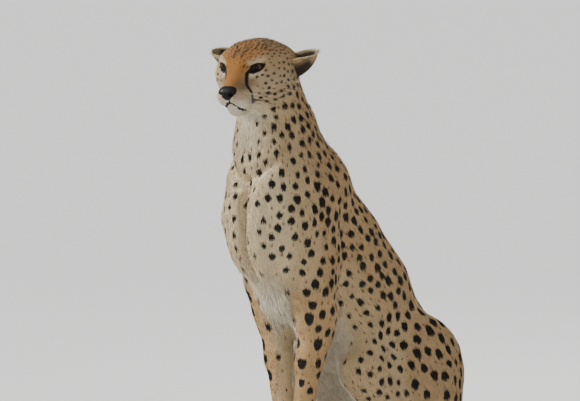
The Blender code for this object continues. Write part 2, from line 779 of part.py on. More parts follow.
def main():
    """Builds the animal, parts it and centres it on the origin."""
    for obj in list(bpy.data.objects):
        bpy.data.objects.remove(obj)
    body = whole_animal()
    thin_out(body)
    tail = [
        tail_length(name, first, last)
        for name, first, last in zip(("tail_base", "tail_middle", "tail_tip"), TAIL_CUTS, TAIL_CUTS[1:])
    ]
    pieces = part_head(body) + part_legs(body) + part_trunk(body, tail[0]) + tail
    add_claws(pieces)
    for piece in pieces:
        if not piece.name.startswith(("eye", "tail")):
            merge_flats(piece)
    materials = {name: coat(name) for name in COLOURS}
    corners = np.array([v.co for piece in pieces for v in piece.data.vertices])
    low, high = corners.min(axis=0), corners.max(axis=0)
    home = Matrix.Translation((-(low[0] + high[0]) / 2, -(low[1] + high[1]) / 2, -low[2]))
    for piece in pieces:
        piece.data.transform(home)
        kind = "eye" if piece.name.startswith("eye") else "leather" if piece.name == "nose" else "coat"
        piece.data.materials.clear()
        piece.data.materials.append(materials[kind])


if __name__ == "__main__":
    main()
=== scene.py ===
"""Dresses the sitting cheetah: one skin with its markings, a coat of solid tufts,
eyes, nose leather, whiskers and claws, on a pale floor in soft studio light.

Lengths are in metres. The animal faces -Y, its left side is +X and the floor is
z = 0. Forms of the face are given in the head's own frame, which is worked out
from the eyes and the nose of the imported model: x to its left, y backward, z up.
"""

import logging
import math
from dataclasses import dataclass, field
from enum import Enum

import bmesh
import bpy
import numpy as np
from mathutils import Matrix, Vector
from mathutils.kdtree import KDTree

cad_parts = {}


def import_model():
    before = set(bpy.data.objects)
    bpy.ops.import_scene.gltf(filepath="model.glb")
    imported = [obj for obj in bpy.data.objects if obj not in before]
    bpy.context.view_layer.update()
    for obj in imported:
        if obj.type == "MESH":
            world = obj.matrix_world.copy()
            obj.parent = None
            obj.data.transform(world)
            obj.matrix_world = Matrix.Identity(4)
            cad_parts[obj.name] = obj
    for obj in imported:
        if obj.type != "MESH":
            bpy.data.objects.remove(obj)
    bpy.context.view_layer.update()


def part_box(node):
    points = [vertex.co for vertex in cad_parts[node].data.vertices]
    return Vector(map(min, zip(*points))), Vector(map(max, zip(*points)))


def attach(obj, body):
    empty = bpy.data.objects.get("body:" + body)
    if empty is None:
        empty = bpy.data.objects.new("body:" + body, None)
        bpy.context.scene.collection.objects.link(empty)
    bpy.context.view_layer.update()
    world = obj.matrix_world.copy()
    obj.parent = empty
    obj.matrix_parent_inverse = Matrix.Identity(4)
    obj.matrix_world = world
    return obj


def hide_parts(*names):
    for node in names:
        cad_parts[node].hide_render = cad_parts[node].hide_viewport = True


LOG = logging.getLogger("cheetah")

BODY_PLACE = np.array((-0.02877, -0.0455, 0.0))     # where the body's own frame lies in the world
FACE_MIDDLE = (0, -0.09, -0.02)
BODY_DEPTH = 0.0026     # how deep the coat is over the body
FACE_LESS = 0.0010      # how much less deep it is over the face
FEET_DEPTH = 0.0018
FAR = 9.0               # farther than any two places of the animal
NO_MARK = 0.02          # the distance given where no mark is near
FLESH = (
    "head", "lower_jaw", "neck", "chest", "loin", "rump",
    "ear_left", "ear_right", "upper_arm_left", "upper_arm_right",
    "forearm_left", "forearm_right", "forepaw_left", "forepaw_right",
    "thigh_left", "thigh_right", "shank_left", "shank_right",
    "hind_foot_left", "hind_foot_right", "tail_base", "tail_middle", "tail_tip",
)


# ---------------------------------------------------------------- small tools
def select_only(*objects: bpy.types.Object) -> None:
    """Selects these objects alone and makes the first one active.

    Args:
        objects: The objects to select.
    """
    if bpy.context.object and bpy.context.object.mode != "OBJECT":
        bpy.ops.object.mode_set(mode="OBJECT")
    bpy.ops.object.select_all(action="DESELECT")
    for obj in objects:
        obj.select_set(True)
    bpy.context.view_layer.objects.active = objects[0]


def new_object(name: str, data: bpy.types.ID) -> bpy.types.Object:
    """An object of the scene, at the origin, with this mesh, light or camera."""
    made = bpy.data.objects.new(name, data)
    bpy.context.scene.collection.objects.link(made)
    return made


def unit_ball(name: str, segments: int, rings: int) -> bpy.types.Object:
    """A ball of radius one, smooth shaded."""
    bpy.ops.object.select_all(action="DESELECT")
    bpy.ops.mesh.primitive_uv_sphere_add(segments=segments, ring_count=rings, radius=1.0)
    bpy.context.object.name = name
    bpy.ops.object.shade_smooth()
    return bpy.context.object


def read_rows(
    items: bpy.types.bpy_prop_collection, name: str, width: int, kind: type = np.float32
) -> np.ndarray:
    """What the items of a collection hold under one name.

    Args:
        items: The collection, such as a mesh's vertices.
        name: The property to read.
        width: How many numbers an item holds.
        kind: The type of the numbers.

    Returns:
        An array with one row per item.
    """
    flat = np.empty(len(items) * width, kind)
    items.foreach_get(name, flat)
    return flat.reshape(-1, width)


def points_of(mesh: bpy.types.Mesh) -> np.ndarray:
    """The mesh's vertices, one to a row."""
    return read_rows(mesh.vertices, "co", 3).astype(float)


def set_points(mesh: bpy.types.Mesh, points: np.ndarray) -> None:
    """Moves the mesh's vertices to new places."""
    mesh.vertices.foreach_set("co", points.astype(np.float32).ravel())
    mesh.update()


def normals_of(mesh: bpy.types.Mesh) -> np.ndarray:
    """The outward normals at the mesh's vertices."""
    return read_rows(mesh.vertex_normals, "vector", 3).astype(float)


def unit(rows: np.ndarray) -> np.ndarray:
    """Each row at length one."""
    return rows / np.maximum(np.linalg.norm(rows, axis=-1, keepdims=True), 1e-9)


def ramp(value: np.ndarray, low: float, high: float) -> np.ndarray:
    """A smooth step from 0 at low to 1 at high."""
    share = np.clip((value - low) / (high - low), 0.0, 1.0)
    return share * share * (3 - 2 * share)


def segment_distance(points: np.ndarray, start: np.ndarray, end: np.ndarray) -> np.ndarray:
    """How far each point lies from a straight segment."""
    along = end - start
    share = np.clip((points - start) @ along / (along @ along), 0.0, 1.0)
    return np.linalg.norm(points - start - share[:, None] * along, axis=1)


def set_attribute(mesh: bpy.types.Mesh, name: str, values: np.ndarray) -> None:
    """Stores one number, vector or colour for each vertex.

    Args:
        mesh: The mesh that gets the attribute.
        name: The attribute's name.
        values: One number per vertex, or one row of three for a vector or four for a colour.
    """
    width = 1 if values.ndim == 1 else values.shape[1]
    kind, slot = {1: ("FLOAT", "value"), 3: ("FLOAT_VECTOR", "vector"), 4: ("FLOAT_COLOR", "color")}[width]
    layer = mesh.attributes.new(name, kind, "POINT")
    layer.data.foreach_set(slot, values.astype(np.float32).ravel())


# ---------------------------------------------------------------- the head's frame
@dataclass
class HeadFrame:
    """The head's own frame, from the places of the eyes and the nose."""

    eye_back: float = 0.0660      # how far the eyes lie ahead of the frame's origin
    nose_drop: float = math.radians(30.7)
    origin: np.ndarray = field(init=False)
    turn: np.ndarray = field(init=False)

    def __post_init__(self) -> None:
        """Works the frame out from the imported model."""
        left, right, nose = (
            np.mean(np.array(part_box(name), float), axis=0) for name in ("eye_left", "eye_right", "nose")
        )
        middle = (left + right) / 2
        side = unit(left - right)
        reach = nose - middle
        reach -= side * (reach @ side)
        down_nose = unit(reach)
        up_nose = np.cross(down_nose, side)
        forward = down_nose * math.cos(self.nose_drop) + up_nose * math.sin(self.nose_drop)
        up = np.cross(forward, side)
        if up[2] < 0:
            up = -up
        self.turn = np.stack((side, -forward, up))
        self.origin = middle - forward * self.eye_back

    def to_local(self, points: np.ndarray) -> np.ndarray:
        """World points in the head's frame."""
        return (points - self.origin) @ self.turn.T

    def to_world(self, points: np.ndarray) -> np.ndarray:
        """Head points in the world."""
        return points @ self.turn + self.origin


# ---------------------------------------------------------------- forms of the face
@dataclass(frozen=True)
class Mound:
    """A soft rise or hollow of the skin, on both sides unless it lies in the middle."""

    centre: tuple[float, float, float]
    radii: tuple[float, float, float]
    height: float

    def push(self, places: np.ndarray) -> np.ndarray:
        """How far each point is to move out along its normal.

        Args:
            places: Points in the frame of the mound, with the side taken as positive.

        Returns:
            One length per point.
        """
        scaled = (places - np.array(self.centre)) / np.array(self.radii)
        return self.height * np.exp(-np.sum(scaled * scaled, axis=1))


@dataclass(frozen=True)
class Groove:
    """A crease along a run of points, on both sides of the animal."""

    run: tuple[tuple[float, float, float], ...]
    depth: float
    width: float

    def push(self, places: np.ndarray) -> np.ndarray:
        """How far each point is to move out along its normal; a groove moves it in."""
        near = run_distance(places, traced(self.run, places))
        return -self.depth * np.exp(-((near / self.width) ** 2))


@dataclass(frozen=True)
class Line:
    """A dark line of the face, on both sides: its run and its half widths from start to end."""

    run: tuple[tuple[float, float, float], ...]
    halves: tuple[float, ...]

    def half(self, share: float) -> float:
        """The half width at a share of the run."""
        return float(np.interp(share, np.linspace(0, 1, len(self.halves)), self.halves))


MOUTH_LINE = (
    (0, -0.138, -0.0664), (0.003, -0.1386, -0.0669), (0.0068, -0.139, -0.0692),
    (0.0125, -0.1335, -0.0745), (0.0165, -0.1265, -0.0808), (0.0196, -0.118, -0.0858),
    (0.0218, -0.11, -0.0888),
)
PHILTRUM = ((0, -0.1405, -0.056), (0, -0.139, -0.06), (0, -0.138, -0.0664))
TEAR_LINE = (
    (0.0225, -0.088, -0.009), (0.0215, -0.096, -0.017), (0.022, -0.1, -0.027),
    (0.0235, -0.103, -0.037), (0.0255, -0.106, -0.048), (0.0285, -0.105, -0.059),
    (0.034, -0.098, -0.07), (0.0385, -0.09, -0.075),
)
FACE_FORMS = (
    Mound((0.0175, -0.126, -0.059), (0.015, 0.019, 0.013), 0.0034),
    Mound((0, -0.118, -0.094), (0.016, 0.016, 0.011), 0.002),
    Mound((0, -0.115, -0.019), (0.012, 0.03, 0.016), 0.0016),
    Mound((0.024, -0.108, -0.033), (0.009, 0.016, 0.012), -0.0034),
    Mound((0.03, -0.088, 0.015), (0.018, 0.012, 0.006), 0.0026),
    Mound((0.023, -0.093, -0.008), (0.007, 0.009, 0.008), -0.005),
    Mound((0, -0.09, 0.028), (0.007, 0.016, 0.022), -0.0016),
    Mound((0.048, -0.062, -0.03), (0.015, 0.022, 0.014), 0.0024),
    Mound((0.062, -0.038, 0.004), (0.012, 0.02, 0.014), -0.0022),
    Mound((0.038, -0.036, 0.04), (0.02, 0.03, 0.02), 0.0048),
    Mound((0, -0.01, 0.056), (0.03, 0.04, 0.024), 0.0032),
    Groove(MOUTH_LINE, depth=0.0032, width=0.0021),
    Groove(PHILTRUM, depth=0.0022, width=0.0016),
    Mound((0, -0.156, -0.057), (0.009, 0.012, 0.006), -0.003),
)
FACE_LINES = (
    Line(TEAR_LINE, (0.0046, 0.0036, 0.0036, 0.0046)),
    Line(MOUTH_LINE, (0.0024, 0.0027, 0.0028, 0.0026, 0.0018)),
    Line(PHILTRUM, (0.0021, 0.0019)),
    Line(((0.05, -0.069, 0.001), (0.06, -0.056, 0.0045)), (0.002, 0.0014)),
    Line(((0.0094, -0.09, 0.0215), (0.01, -0.064, 0.037)), (0.0013, 0.0019)),
)
PAWS = ((0.042, -0.118), (0.129, -0.04))
TOES = (-1.5, -0.5, 0.5, 1.5)   # the toes of a paw, in steps from its middle
TOE_STEP = 0.015
STRIDE = 0.009      # how far each forepaw stands ahead of or behind the middle of both
FLOOR_AIR = 0.0004  # the soles' height over the floor
WHISKER_ROOTS = tuple(
    (0.015 + 0.004 * step, -0.142 + 0.0072 * step, -0.05 - 0.0056 * row - 0.0006 * step)
    for row in range(4) for step in range(5)
)
TOE_FORMS = tuple(
    Groove(
        ((x + 0.011 * gap, y - 0.018, 0.052), (x + 0.015 * gap, y - 0.04, 0.036),
         (x + 0.0155 * gap, y - 0.056, 0.012)),
        depth=0.0058, width=0.0027,
    )
    for x, y in PAWS for gap in (-1, 0, 1)
) + tuple(
    Mound((x + TOE_STEP * toe, y - 0.047 + 0.0055 * toe * toe, 0.026), (0.0062, 0.011, 0.01), 0.0036)
    for x, y in PAWS for toe in TOES
)
BODY_FORMS = TOE_FORMS + (
    Groove(((0, -0.243, 0.7), (0, -0.24, 0.6), (0, -0.2, 0.48)), 0.018, 0.0115),
    Mound((0.04, -0.23, 0.62), (0.028, 0.04, 0.08), 0.007),
    Groove(((0.074, -0.17, 0.755), (0.04, -0.215, 0.715), (0.014, -0.236, 0.69)), 0.01, 0.016),
    Groove(((0.11, -0.03, 0.64), (0.112, -0.02, 0.52), (0.1, -0.02, 0.43)), 0.0075, 0.016),
    Groove(((0.104, -0.16, 0.62), (0.09, -0.15, 0.52), (0.068, -0.14, 0.44)), 0.006, 0.013),
    Mound((0.1, -0.09, 0.56), (0.03, 0.036, 0.09), 0.004),
    Groove(((0.128, 0.06, 0.4), (0.15, 0.11, 0.33), (0.155, 0.15, 0.24)), 0.0035, 0.02),
    Mound((0.064, -0.052, 0.395), (0.015, 0.012, 0.018), 0.003),
    Mound((0.106, 0.075, 0.405), (0.025, 0.03, 0.04), 0.004),
)


def traced(run: tuple[tuple[float, float, float], ...], places: np.ndarray) -> np.ndarray:
    """A run of points drawn closer together and laid on the nearest of some places.

    Args:
        run: The corners of the run.
        places: Points of the surface on which it is to lie.

    Returns:
        The points of the run on the surface.
    """
    corners = np.array(run)
    steps = np.concatenate([
        start + (end - start) * np.linspace(0, 1, 7)[:, None] for start, end in zip(corners, corners[1:])
    ])
    laid = np.array([places[np.argmin(np.sum((places - step) ** 2, axis=1))] for step in steps])
    for _ in range(2):
        laid[1:-1] = (laid[:-2] + 2 * laid[1:-1] + laid[2:]) / 4
    laid[steps[:, 0] == 0, 0] = 0
    return laid


def run_distance(places: np.ndarray, run: np.ndarray) -> np.ndarray:
    """How far each place lies from a run of points."""
    nearest = np.full(len(places), FAR)
    reach = 0.03
    low, high = run.min(axis=0) - reach, run.max(axis=0) + reach
    close = np.nonzero(np.all((places > low) & (places < high), axis=1))[0]
    for start, end in zip(run, run[1:]):
        if np.linalg.norm(end - start) > 1e-6:
            nearest[close] = np.minimum(nearest[close], segment_distance(places[close], start, end))
    return nearest


def foreleg(body: np.ndarray, wide: float) -> np.ndarray:
    """Which body places belong to the lower forelegs, up to a distance from the middle."""
    return (np.abs(body[:, 0]) < wide) & (body[:, 1] < -0.030) & (body[:, 2] < 0.250)


def evened(body: np.ndarray) -> np.ndarray:
    """Body places laid over the left side, with the forepaws' stride taken out."""
    side = mirrored(body)
    share = (1 - ramp(body[:, 2], 0.15, 0.25)) * foreleg(body, 0.090)
    side[:, 1] += STRIDE * np.sign(body[:, 0]) * share
    return side


def mirrored(places: np.ndarray) -> np.ndarray:
    """Places with the animal's right side laid over its left."""
    return np.column_stack((np.abs(places[:, 0]), places[:, 1:]))


def tube_faces(rings: int, sides: int, first: int = 0, closed: bool = False) -> list[tuple[int, ...]]:
    """The faces between the rings of a tube, whose vertices are numbered ring by ring.

    Args:
        rings: How many rings there are.
        sides: How many vertices a ring has.
        first: The number of the first vertex.
        closed: Whether the last ring is joined to the first one.

    Returns:
        Four vertex numbers for each face.
    """
    faces = []
    for ring in range(rings if closed else rings - 1):
        one, two = first + sides * ring, first + sides * ((ring + 1) % rings)
        faces += [(one + k, one + (k + 1) % sides, two + (k + 1) % sides, two + k) for k in range(sides)]
    return faces


@dataclass(frozen=True)
class Lids:
    """The lids of both eyes, which wrap the eyeball and leave an almond between them."""

    centre: tuple[float, float, float] = (0.0352, -0.0660, 0.000)
    eyeball: float = 0.0180
    skin: float = 0.0012
    out: float = math.radians(27)
    slant: float = math.radians(12)
    inner: float = -0.0158
    outer: float = 0.0152
    upper: float = 0.0070
    lower: float = 0.0062
    rim: float = 0.0012
    reach: float = 0.034

    def axes(self) -> np.ndarray:
        """The eye's own directions: to its outer corner, up across the slant, and ahead."""
        outward = np.array((math.cos(self.out), math.sin(self.out), 0.0))
        ahead = np.array((math.sin(self.out), -math.cos(self.out), 0.0))
        rise = np.array((0.0, 0.0, 1.0))
        cos, sin = math.cos(self.slant), math.sin(self.slant)
        return np.stack((outward * cos + rise * sin, rise * cos - outward * sin, ahead))

    def edge(self, across: np.ndarray) -> tuple[np.ndarray, np.ndarray]:
        """Heights of the upper and the lower lid's edge along the eye."""
        share = np.clip((across - self.inner) / (self.outer - self.inner), 0.0, 1.0)
        upper = self.upper * np.sin(math.pi * share**0.85) ** 0.62
        lower = -self.lower * np.sin(math.pi * share**0.95) ** 0.75
        droop = -0.0024 * (1 - share) ** 3
        return upper + droop, lower + droop

    def opening(self, seen: np.ndarray) -> np.ndarray:
        """Distance outside the almond, negative between the lids."""
        upper, lower = self.edge(seen[:, 0])
        outside = np.maximum(seen[:, 1] - upper, lower - seen[:, 1])
        beyond = np.maximum(self.inner - seen[:, 0], seen[:, 0] - self.outer)
        return np.where(beyond > 0, np.hypot(np.maximum(beyond, 0), np.maximum(outside, 0)), outside)

    def shape(self, local: np.ndarray) -> np.ndarray:
        """Draws the skin round the eyeballs and opens the lids.

        Args:
            local: Points of the skin in the head's frame.

        Returns:
            The same points after the lids are formed.
        """
        side = np.where(local[:, :1] < 0, -1.0, 1.0)
        offset = mirrored(local) - np.array(self.centre)
        length = np.linalg.norm(offset, axis=1)
        seen = offset @ self.axes().T
        outside = self.opening(seen)
        moved = (seen[:, 2] > 0.0) & (length < self.reach)
        lid = self.eyeball + self.skin + 0.0012 * np.exp(-np.maximum(outside - 0.003, 0) / 0.004)
        wrap = (1 - ramp(outside, 0.003, 0.011)) * (1 - ramp(length, 0.026, self.reach))
        reach = np.where(outside < 0.0004, self.eyeball - 0.0040, length + (lid - length) * wrap)
        out = local.copy()
        shifted = np.array(self.centre) + unit(offset) * reach[:, None]
        shifted[:, :1] *= side
        out[moved] = shifted[moved]
        return out

    def rims(self) -> tuple[np.ndarray, list[tuple[int, ...]]]:
        """The rounded edges of the lids of both eyes, in the head's frame.

        Returns:
            The vertices, and the faces that join them.
        """
        half = 36
        share = 0.5 - 0.5 * np.cos(np.linspace(0, math.pi, half + 1))
        across = self.inner + (self.outer - self.inner) * share
        upper, lower = self.edge(across)
        path = np.concatenate((
            np.column_stack((across, upper)), np.column_stack((across[::-1], lower[::-1]))[1:-1],
        ))
        ball = self.eyeball + 0.0006
        ahead = np.sqrt(np.maximum(ball**2 - np.sum(path * path, axis=1), 0))
        path = np.column_stack((path, ahead))
        tangent = unit(np.roll(path, -1, axis=0) - np.roll(path, 1, axis=0))
        out = unit(path)
        beside = np.cross(tangent, out)
        turns = np.arange(8) * math.tau / 8
        rings = path[:, None] + self.rim * (
            np.cos(turns)[None, :, None] * out[:, None] + np.sin(turns)[None, :, None] * beside[:, None]
        )
        points = rings.reshape(-1, 3) @ self.axes() + np.array(self.centre)
        faces = tube_faces(len(path), len(turns), closed=True)
        other = points * (-1, 1, 1)
        shift = len(points)
        return np.concatenate((points, other)), faces + [tuple(shift + v for v in f[::-1]) for f in faces]


@dataclass(frozen=True)
class EarForm:
    """The thin cup of an ear, held out sideways with its opening upward."""

    root: tuple[float, float, float] = (0.0600, 0.020, -0.003)
    tip: tuple[float, float, float] = (0.1305, 0.029, 0.008)
    width: float = 0.0198
    depth: float = 0.0490
    wall: float = 0.0020
    rows: int = 34
    columns: int = 30

    def point(self, along: float, across: float, inset: float) -> Vector:
        """A point of the cup, on its outer skin or set in from it."""
        rim = Vector(self.root).lerp(Vector(self.tip), along)
        rim.z += 0.004 * math.sin(math.pi * along)
        narrow = max(0.0, (along - 0.35) / 0.65)
        width = self.width * math.sqrt(max(0.0, 1.0 - narrow**2.8))
        depth = self.depth * (1.0 - along**2.3) ** 0.8
        width -= min(inset, 0.4 * width)
        depth -= min(inset, 0.4 * depth)
        angle = across * math.pi / 2
        swing = Vector((0.0, 0.960, 0.275)) * (math.sin(angle) * width)
        return rim + swing + Vector((0.10, 0.22, -0.97)) * (math.cos(angle) * depth)

    def mesh(self, side: int) -> tuple[list[Vector], list[tuple[int, ...]], np.ndarray]:
        """The closed cup of one side.

        Args:
            side: 1 for the left ear and -1 for the right one.

        Returns:
            Vertices in the head's frame, faces, and for each vertex its place along
            the ear, across it, and 1 on the outer skin or 2 on the inner one.
        """
        points = []
        marks = []
        for layer, inset in ((1, 0.0), (2, self.wall)):
            for i in range(self.rows):
                along = 0.997 * (1 - (1 - i / (self.rows - 1)) ** 1.6)
                for k in range(self.columns):
                    across = -1 + 2 * k / (self.columns - 1)
                    thin = inset * (1.0 - 0.4 * along)
                    place = self.point(along, across, thin)
                    points.append(Vector((place.x * side, place.y, place.z)))
                    marks.append((along, across, layer))
        block = self.rows * self.columns
        faces = []

        def quad(a: int, b: int, c: int, d: int, flip: bool) -> None:
            """Adds a face, turned over for the other layer or side."""
            turned = flip != (side < 0)
            faces.append((d, c, b, a) if turned else (a, b, c, d))

        for i in range(self.rows - 1):
            for k in range(self.columns - 1):
                at = i * self.columns + k
                quad(at, at + self.columns, at + self.columns + 1, at + 1, flip=False)
                quad(
                    block + at, block + at + self.columns, block + at + self.columns + 1, block + at + 1,
                    flip=True,
                )
            for k, flip in ((0, True), (self.columns - 1, False)):
                at = i * self.columns + k
                quad(at, at + self.columns, block + at + self.columns, block + at, flip=flip)
        for i, flip in ((0, False), (self.rows - 1, True)):
            for k in range(self.columns - 1):
                at = i * self.columns + k
                quad(at, at + 1, block + at + 1, block + at, flip=flip)
        return points, faces, np.array(marks)


# ---------------------------------------------------------------- the skin
@dataclass
class Skin:
    """The one skin over the animal's flesh, inside the coat's depth."""

    head: HeadFrame
    grain: float = 0.0061
    head_reach: float = 0.128
    face_reach: float = 0.074
    eye_reach: float = 0.025
    paw_reach: float = 0.050
    parting: float = 0.0065     # how far each foreleg moves out while the solids are joined
    piece: bpy.types.Object = field(init=False)

    def build(self) -> None:
        """Joins the flesh in one mesh, smooths it and sets it inside the coat."""
        flesh = [name for name in FLESH if not name.startswith("ear")]
        self.piece = self.gather(flesh + ["nose", "eye_left", "eye_right"], "skin")
        self.part_forelegs(self.parting, wide=0.082)
        remesh = self.piece.modifiers.new("join", "REMESH")
        remesh.mode = "VOXEL"
        remesh.voxel_size = self.grain
        bpy.ops.object.modifier_apply(modifier=remesh.name)
        self.refine()
        self.smooth()
        self.part_forelegs(-self.parting, wide=0.088)
        self.set_in()
        self.carve()
        self.settle()
        self.add_ears_and_rims()
        self.unwrap()
        select_only(self.piece)
        bpy.ops.object.shade_smooth()
        LOG.info("skin: %d triangles", sum(len(p.vertices) - 2 for p in self.piece.data.polygons))

    @staticmethod
    def gather(names: list[str], label: str) -> bpy.types.Object:
        """One object from merged copies of some nodes."""
        copies = []
        for name in names:
            copies.append(new_object(label, bpy.data.objects[name].data.copy()))
        select_only(*copies)
        if len(copies) > 1:
            bpy.ops.object.join()
        bpy.context.object.name = label
        bpy.ops.object.mode_set(mode="EDIT")
        bpy.ops.mesh.select_all(action="SELECT")
        bpy.ops.mesh.remove_doubles(threshold=0.00001)
        bpy.ops.object.mode_set(mode="OBJECT")
        return bpy.context.object

    def part_forelegs(self, way: float, wide: float) -> None:
        """Moves the lower forelegs apart, or together again, so that they don't grow into one.

        Args:
            way: How far each leg moves outward.
            wide: The farthest that a foreleg lies from the middle.
        """
        points = points_of(self.piece.data)
        body = points - BODY_PLACE
        share = (1 - ramp(points[:, 2], 0.17, 0.25)) * foreleg(body, wide)
        points[:, 0] += way * np.sign(body[:, 0]) * share
        set_points(self.piece.data, points)

    def refine(self) -> None:
        """Halves the mesh on the head and paws, again on the face, and again round the eyes."""
        work = bmesh.new()
        work.from_mesh(self.piece.data)
        for centre, reach in (
            ((0, -0.010, -0.010), self.head_reach), ((0, -0.100, -0.030), self.face_reach),
            ((0.039, -0.080, 0.0), self.eye_reach),
        ):
            where = np.array([v.co[:] for v in work.verts])
            near = np.linalg.norm(mirrored(self.head.to_local(where)) - centre, axis=1) < reach
            if reach == self.head_reach:
                body = mirrored(where - BODY_PLACE)
                for x, y in PAWS:
                    near |= np.linalg.norm(body - (x, y - 0.030, 0.020), axis=1) < self.paw_reach
            edges = [e for e in work.edges if near[e.verts[0].index] and near[e.verts[1].index]]
            bmesh.ops.subdivide_edges(work, edges=edges, cuts=1, use_grid_fill=True)
            work.verts.index_update()
        bmesh.ops.triangulate(work, faces=[f for f in work.faces if len(f.verts) > 4])
        work.to_mesh(self.piece.data)
        work.free()

    def smooth(self, rounds: int = 130) -> None:
        """Takes out the facets without taking in the form, least on the head and feet."""
        points = points_of(self.piece.data)
        ends = read_rows(self.piece.data.edges, "vertices", 2, np.int64)
        one, other = ends.T
        count = np.bincount(ends.ravel(), minlength=len(points)).astype(float)
        local = self.head.to_local(points)
        free = 0.45 + 0.55 * ramp(np.linalg.norm(local - (0, -0.02, 0), axis=1), 0.13, 0.20)
        free *= 0.15 + 0.85 * ramp(points[:, 2], 0.05, 0.13)
        inward, outward = 0.50, -0.515
        for _ in range(rounds):
            for step in (inward, outward):
                for axis in range(3):
                    column = points[:, axis]
                    pull = np.bincount(one, column[other], len(column))
                    pull += np.bincount(other, column[one], len(column))
                    points[:, axis] = column + step * free * (pull / count - column)
        set_points(self.piece.data, points)

    def set_in(self) -> None:
        """Moves the skin inside the solids by the coat's depth."""
        points = points_of(self.piece.data)
        sole = points[:, 2] < 0.0030
        points -= normals_of(self.piece.data) * coat_depth(self.head, points)[:, None]
        points[:, 2] = np.where(sole, FLOOR_AIR, np.maximum(points[:, 2], FLOOR_AIR))
        set_points(self.piece.data, points)

    def settle(self) -> None:
        """Lets the undersides of the paws down on the floor."""
        points = points_of(self.piece.data)
        body = mirrored(points - BODY_PLACE)
        paw = np.zeros(len(points))
        for x, y in PAWS:
            reach = np.hypot((body[:, 0] - x) / 0.050, (body[:, 1] - y + 0.020) / 0.060)
            paw = np.maximum(paw, 1 - ramp(reach, 0.85, 1.15))
        low = np.clip(points[:, 2] / 0.020, 0, 1)
        down = points[:, 2] * low**1.6
        points[:, 2] += (np.maximum(down, FLOOR_AIR) - points[:, 2]) * paw * (low < 1)
        set_points(self.piece.data, points)

    def carve(self) -> None:
        """Forms the chest, shoulders, muzzle, brow, mouth and lids."""
        points = points_of(self.piece.data)
        frames = (
            (BODY_FORMS, lambda: evened(points - BODY_PLACE)),
            (FACE_FORMS, lambda: mirrored(self.head.to_local(points))),
        )
        for forms, placed in frames:
            for form in forms:
                push = form.push(placed())
                points += normals_of(self.piece.data) * push[:, None]
                set_points(self.piece.data, points)
        points = self.head.to_world(Lids().shape(self.head.to_local(points)))
        set_points(self.piece.data, points)

    def add_ears_and_rims(self) -> None:
        """Joins the ears and the lids' edges to the skin, their roots tucked into the head."""
        added = []
        for label, (points, faces, marks) in (
            ("ear", EarForm().mesh(1)), ("ear", EarForm().mesh(-1)), ("rim", (*Lids().rims(), None)),
        ):
            mesh = bpy.data.meshes.new(label)
            where = self.head.to_world(np.array([tuple(p) for p in points]))
            mesh.from_pydata(where.tolist(), [], faces)
            if marks is None:
                marks = np.tile((0.0, 0.0, 3.0), (len(where), 1))
            set_attribute(mesh, "ear", marks)
            added.append(new_object(label, mesh))
        select_only(self.piece, *added)
        bpy.ops.object.join()

    def unwrap(self) -> None:
        """Lays the skin's own shape out flat for the coat to find its roots on."""
        self.piece.data.uv_layers.new(name="OFBake")
        select_only(self.piece)
        bpy.ops.object.mode_set(mode="EDIT")
        bpy.ops.mesh.select_all(action="SELECT")
        bpy.ops.uv.smart_project(angle_limit=math.radians(66), island_margin=0.001)
        bpy.ops.object.mode_set(mode="OBJECT")


def coat_depth(head: HeadFrame, points: np.ndarray) -> np.ndarray:
    """How deep the coat is over each point of the skin.

    Args:
        head: The head's frame.
        points: Places in the world.

    Returns:
        The depth at each place.
    """
    local = head.to_local(points)
    face = 1 - ramp(np.linalg.norm(local - FACE_MIDDLE, axis=1), 0.055, 0.120)
    feet = 1 - ramp(points[:, 2], 0.045, 0.150)
    deep = BODY_DEPTH - FACE_LESS * face
    return deep - (deep - FEET_DEPTH) * feet


# ---------------------------------------------------------------- the coat's plan
class Tone(Enum):
    """Ground colours of the coat, and one painted shade beside the nose bridge."""

    TAWNY = (0.505, 0.305, 0.128)
    FLANK = (0.565, 0.380, 0.192)
    SIDE = (0.665, 0.485, 0.268)
    CREAM = (0.840, 0.675, 0.425)
    WHITE = (0.900, 0.805, 0.630)
    RUFOUS = (0.500, 0.225, 0.055)
    LEG = (0.590, 0.380, 0.178)
    CHEEK = (0.630, 0.470, 0.280)
    # painted shade: the darker grey-brown on the muzzle's side beside the bridge
    GREY = (0.360, 0.220, 0.110)


SPOT_DARK = (0.011, 0.008, 0.006)
FRECKLE_DARK = (0.120, 0.050, 0.020)
LINE_DARK = (0.010, 0.007, 0.006)
# painted shade: each tuft is darkest at its root, deep in the coat where shade falls, and lightest at its
# tip
TUFT_PAINTED_SHADE = {     # how light each corner of a tuft is, from its root to its tip
    4: (0.66, 0.66, 0.84, 1.08),
    7: (0.62, 0.62, 0.80, 0.95, 0.95, 1.0, 1.08),
}


class Place(Enum):
    """The frame in which a patch is given."""

    HEAD = "head"
    BODY = "body"
    TAIL = "tail"


@dataclass(frozen=True)
class Patch:
    """A part of the coat: where it lies, which way it runs and how it looks.

    Lengths of hair, gaps between spots and radii of spots are in millimetres.
    """

    place: Place
    start: tuple[float, float, float]
    end: tuple[float, float, float]
    reach: float
    hair: float
    lift: float
    gap: float
    spot: float
    tone: Tone
    long: float = 1.2


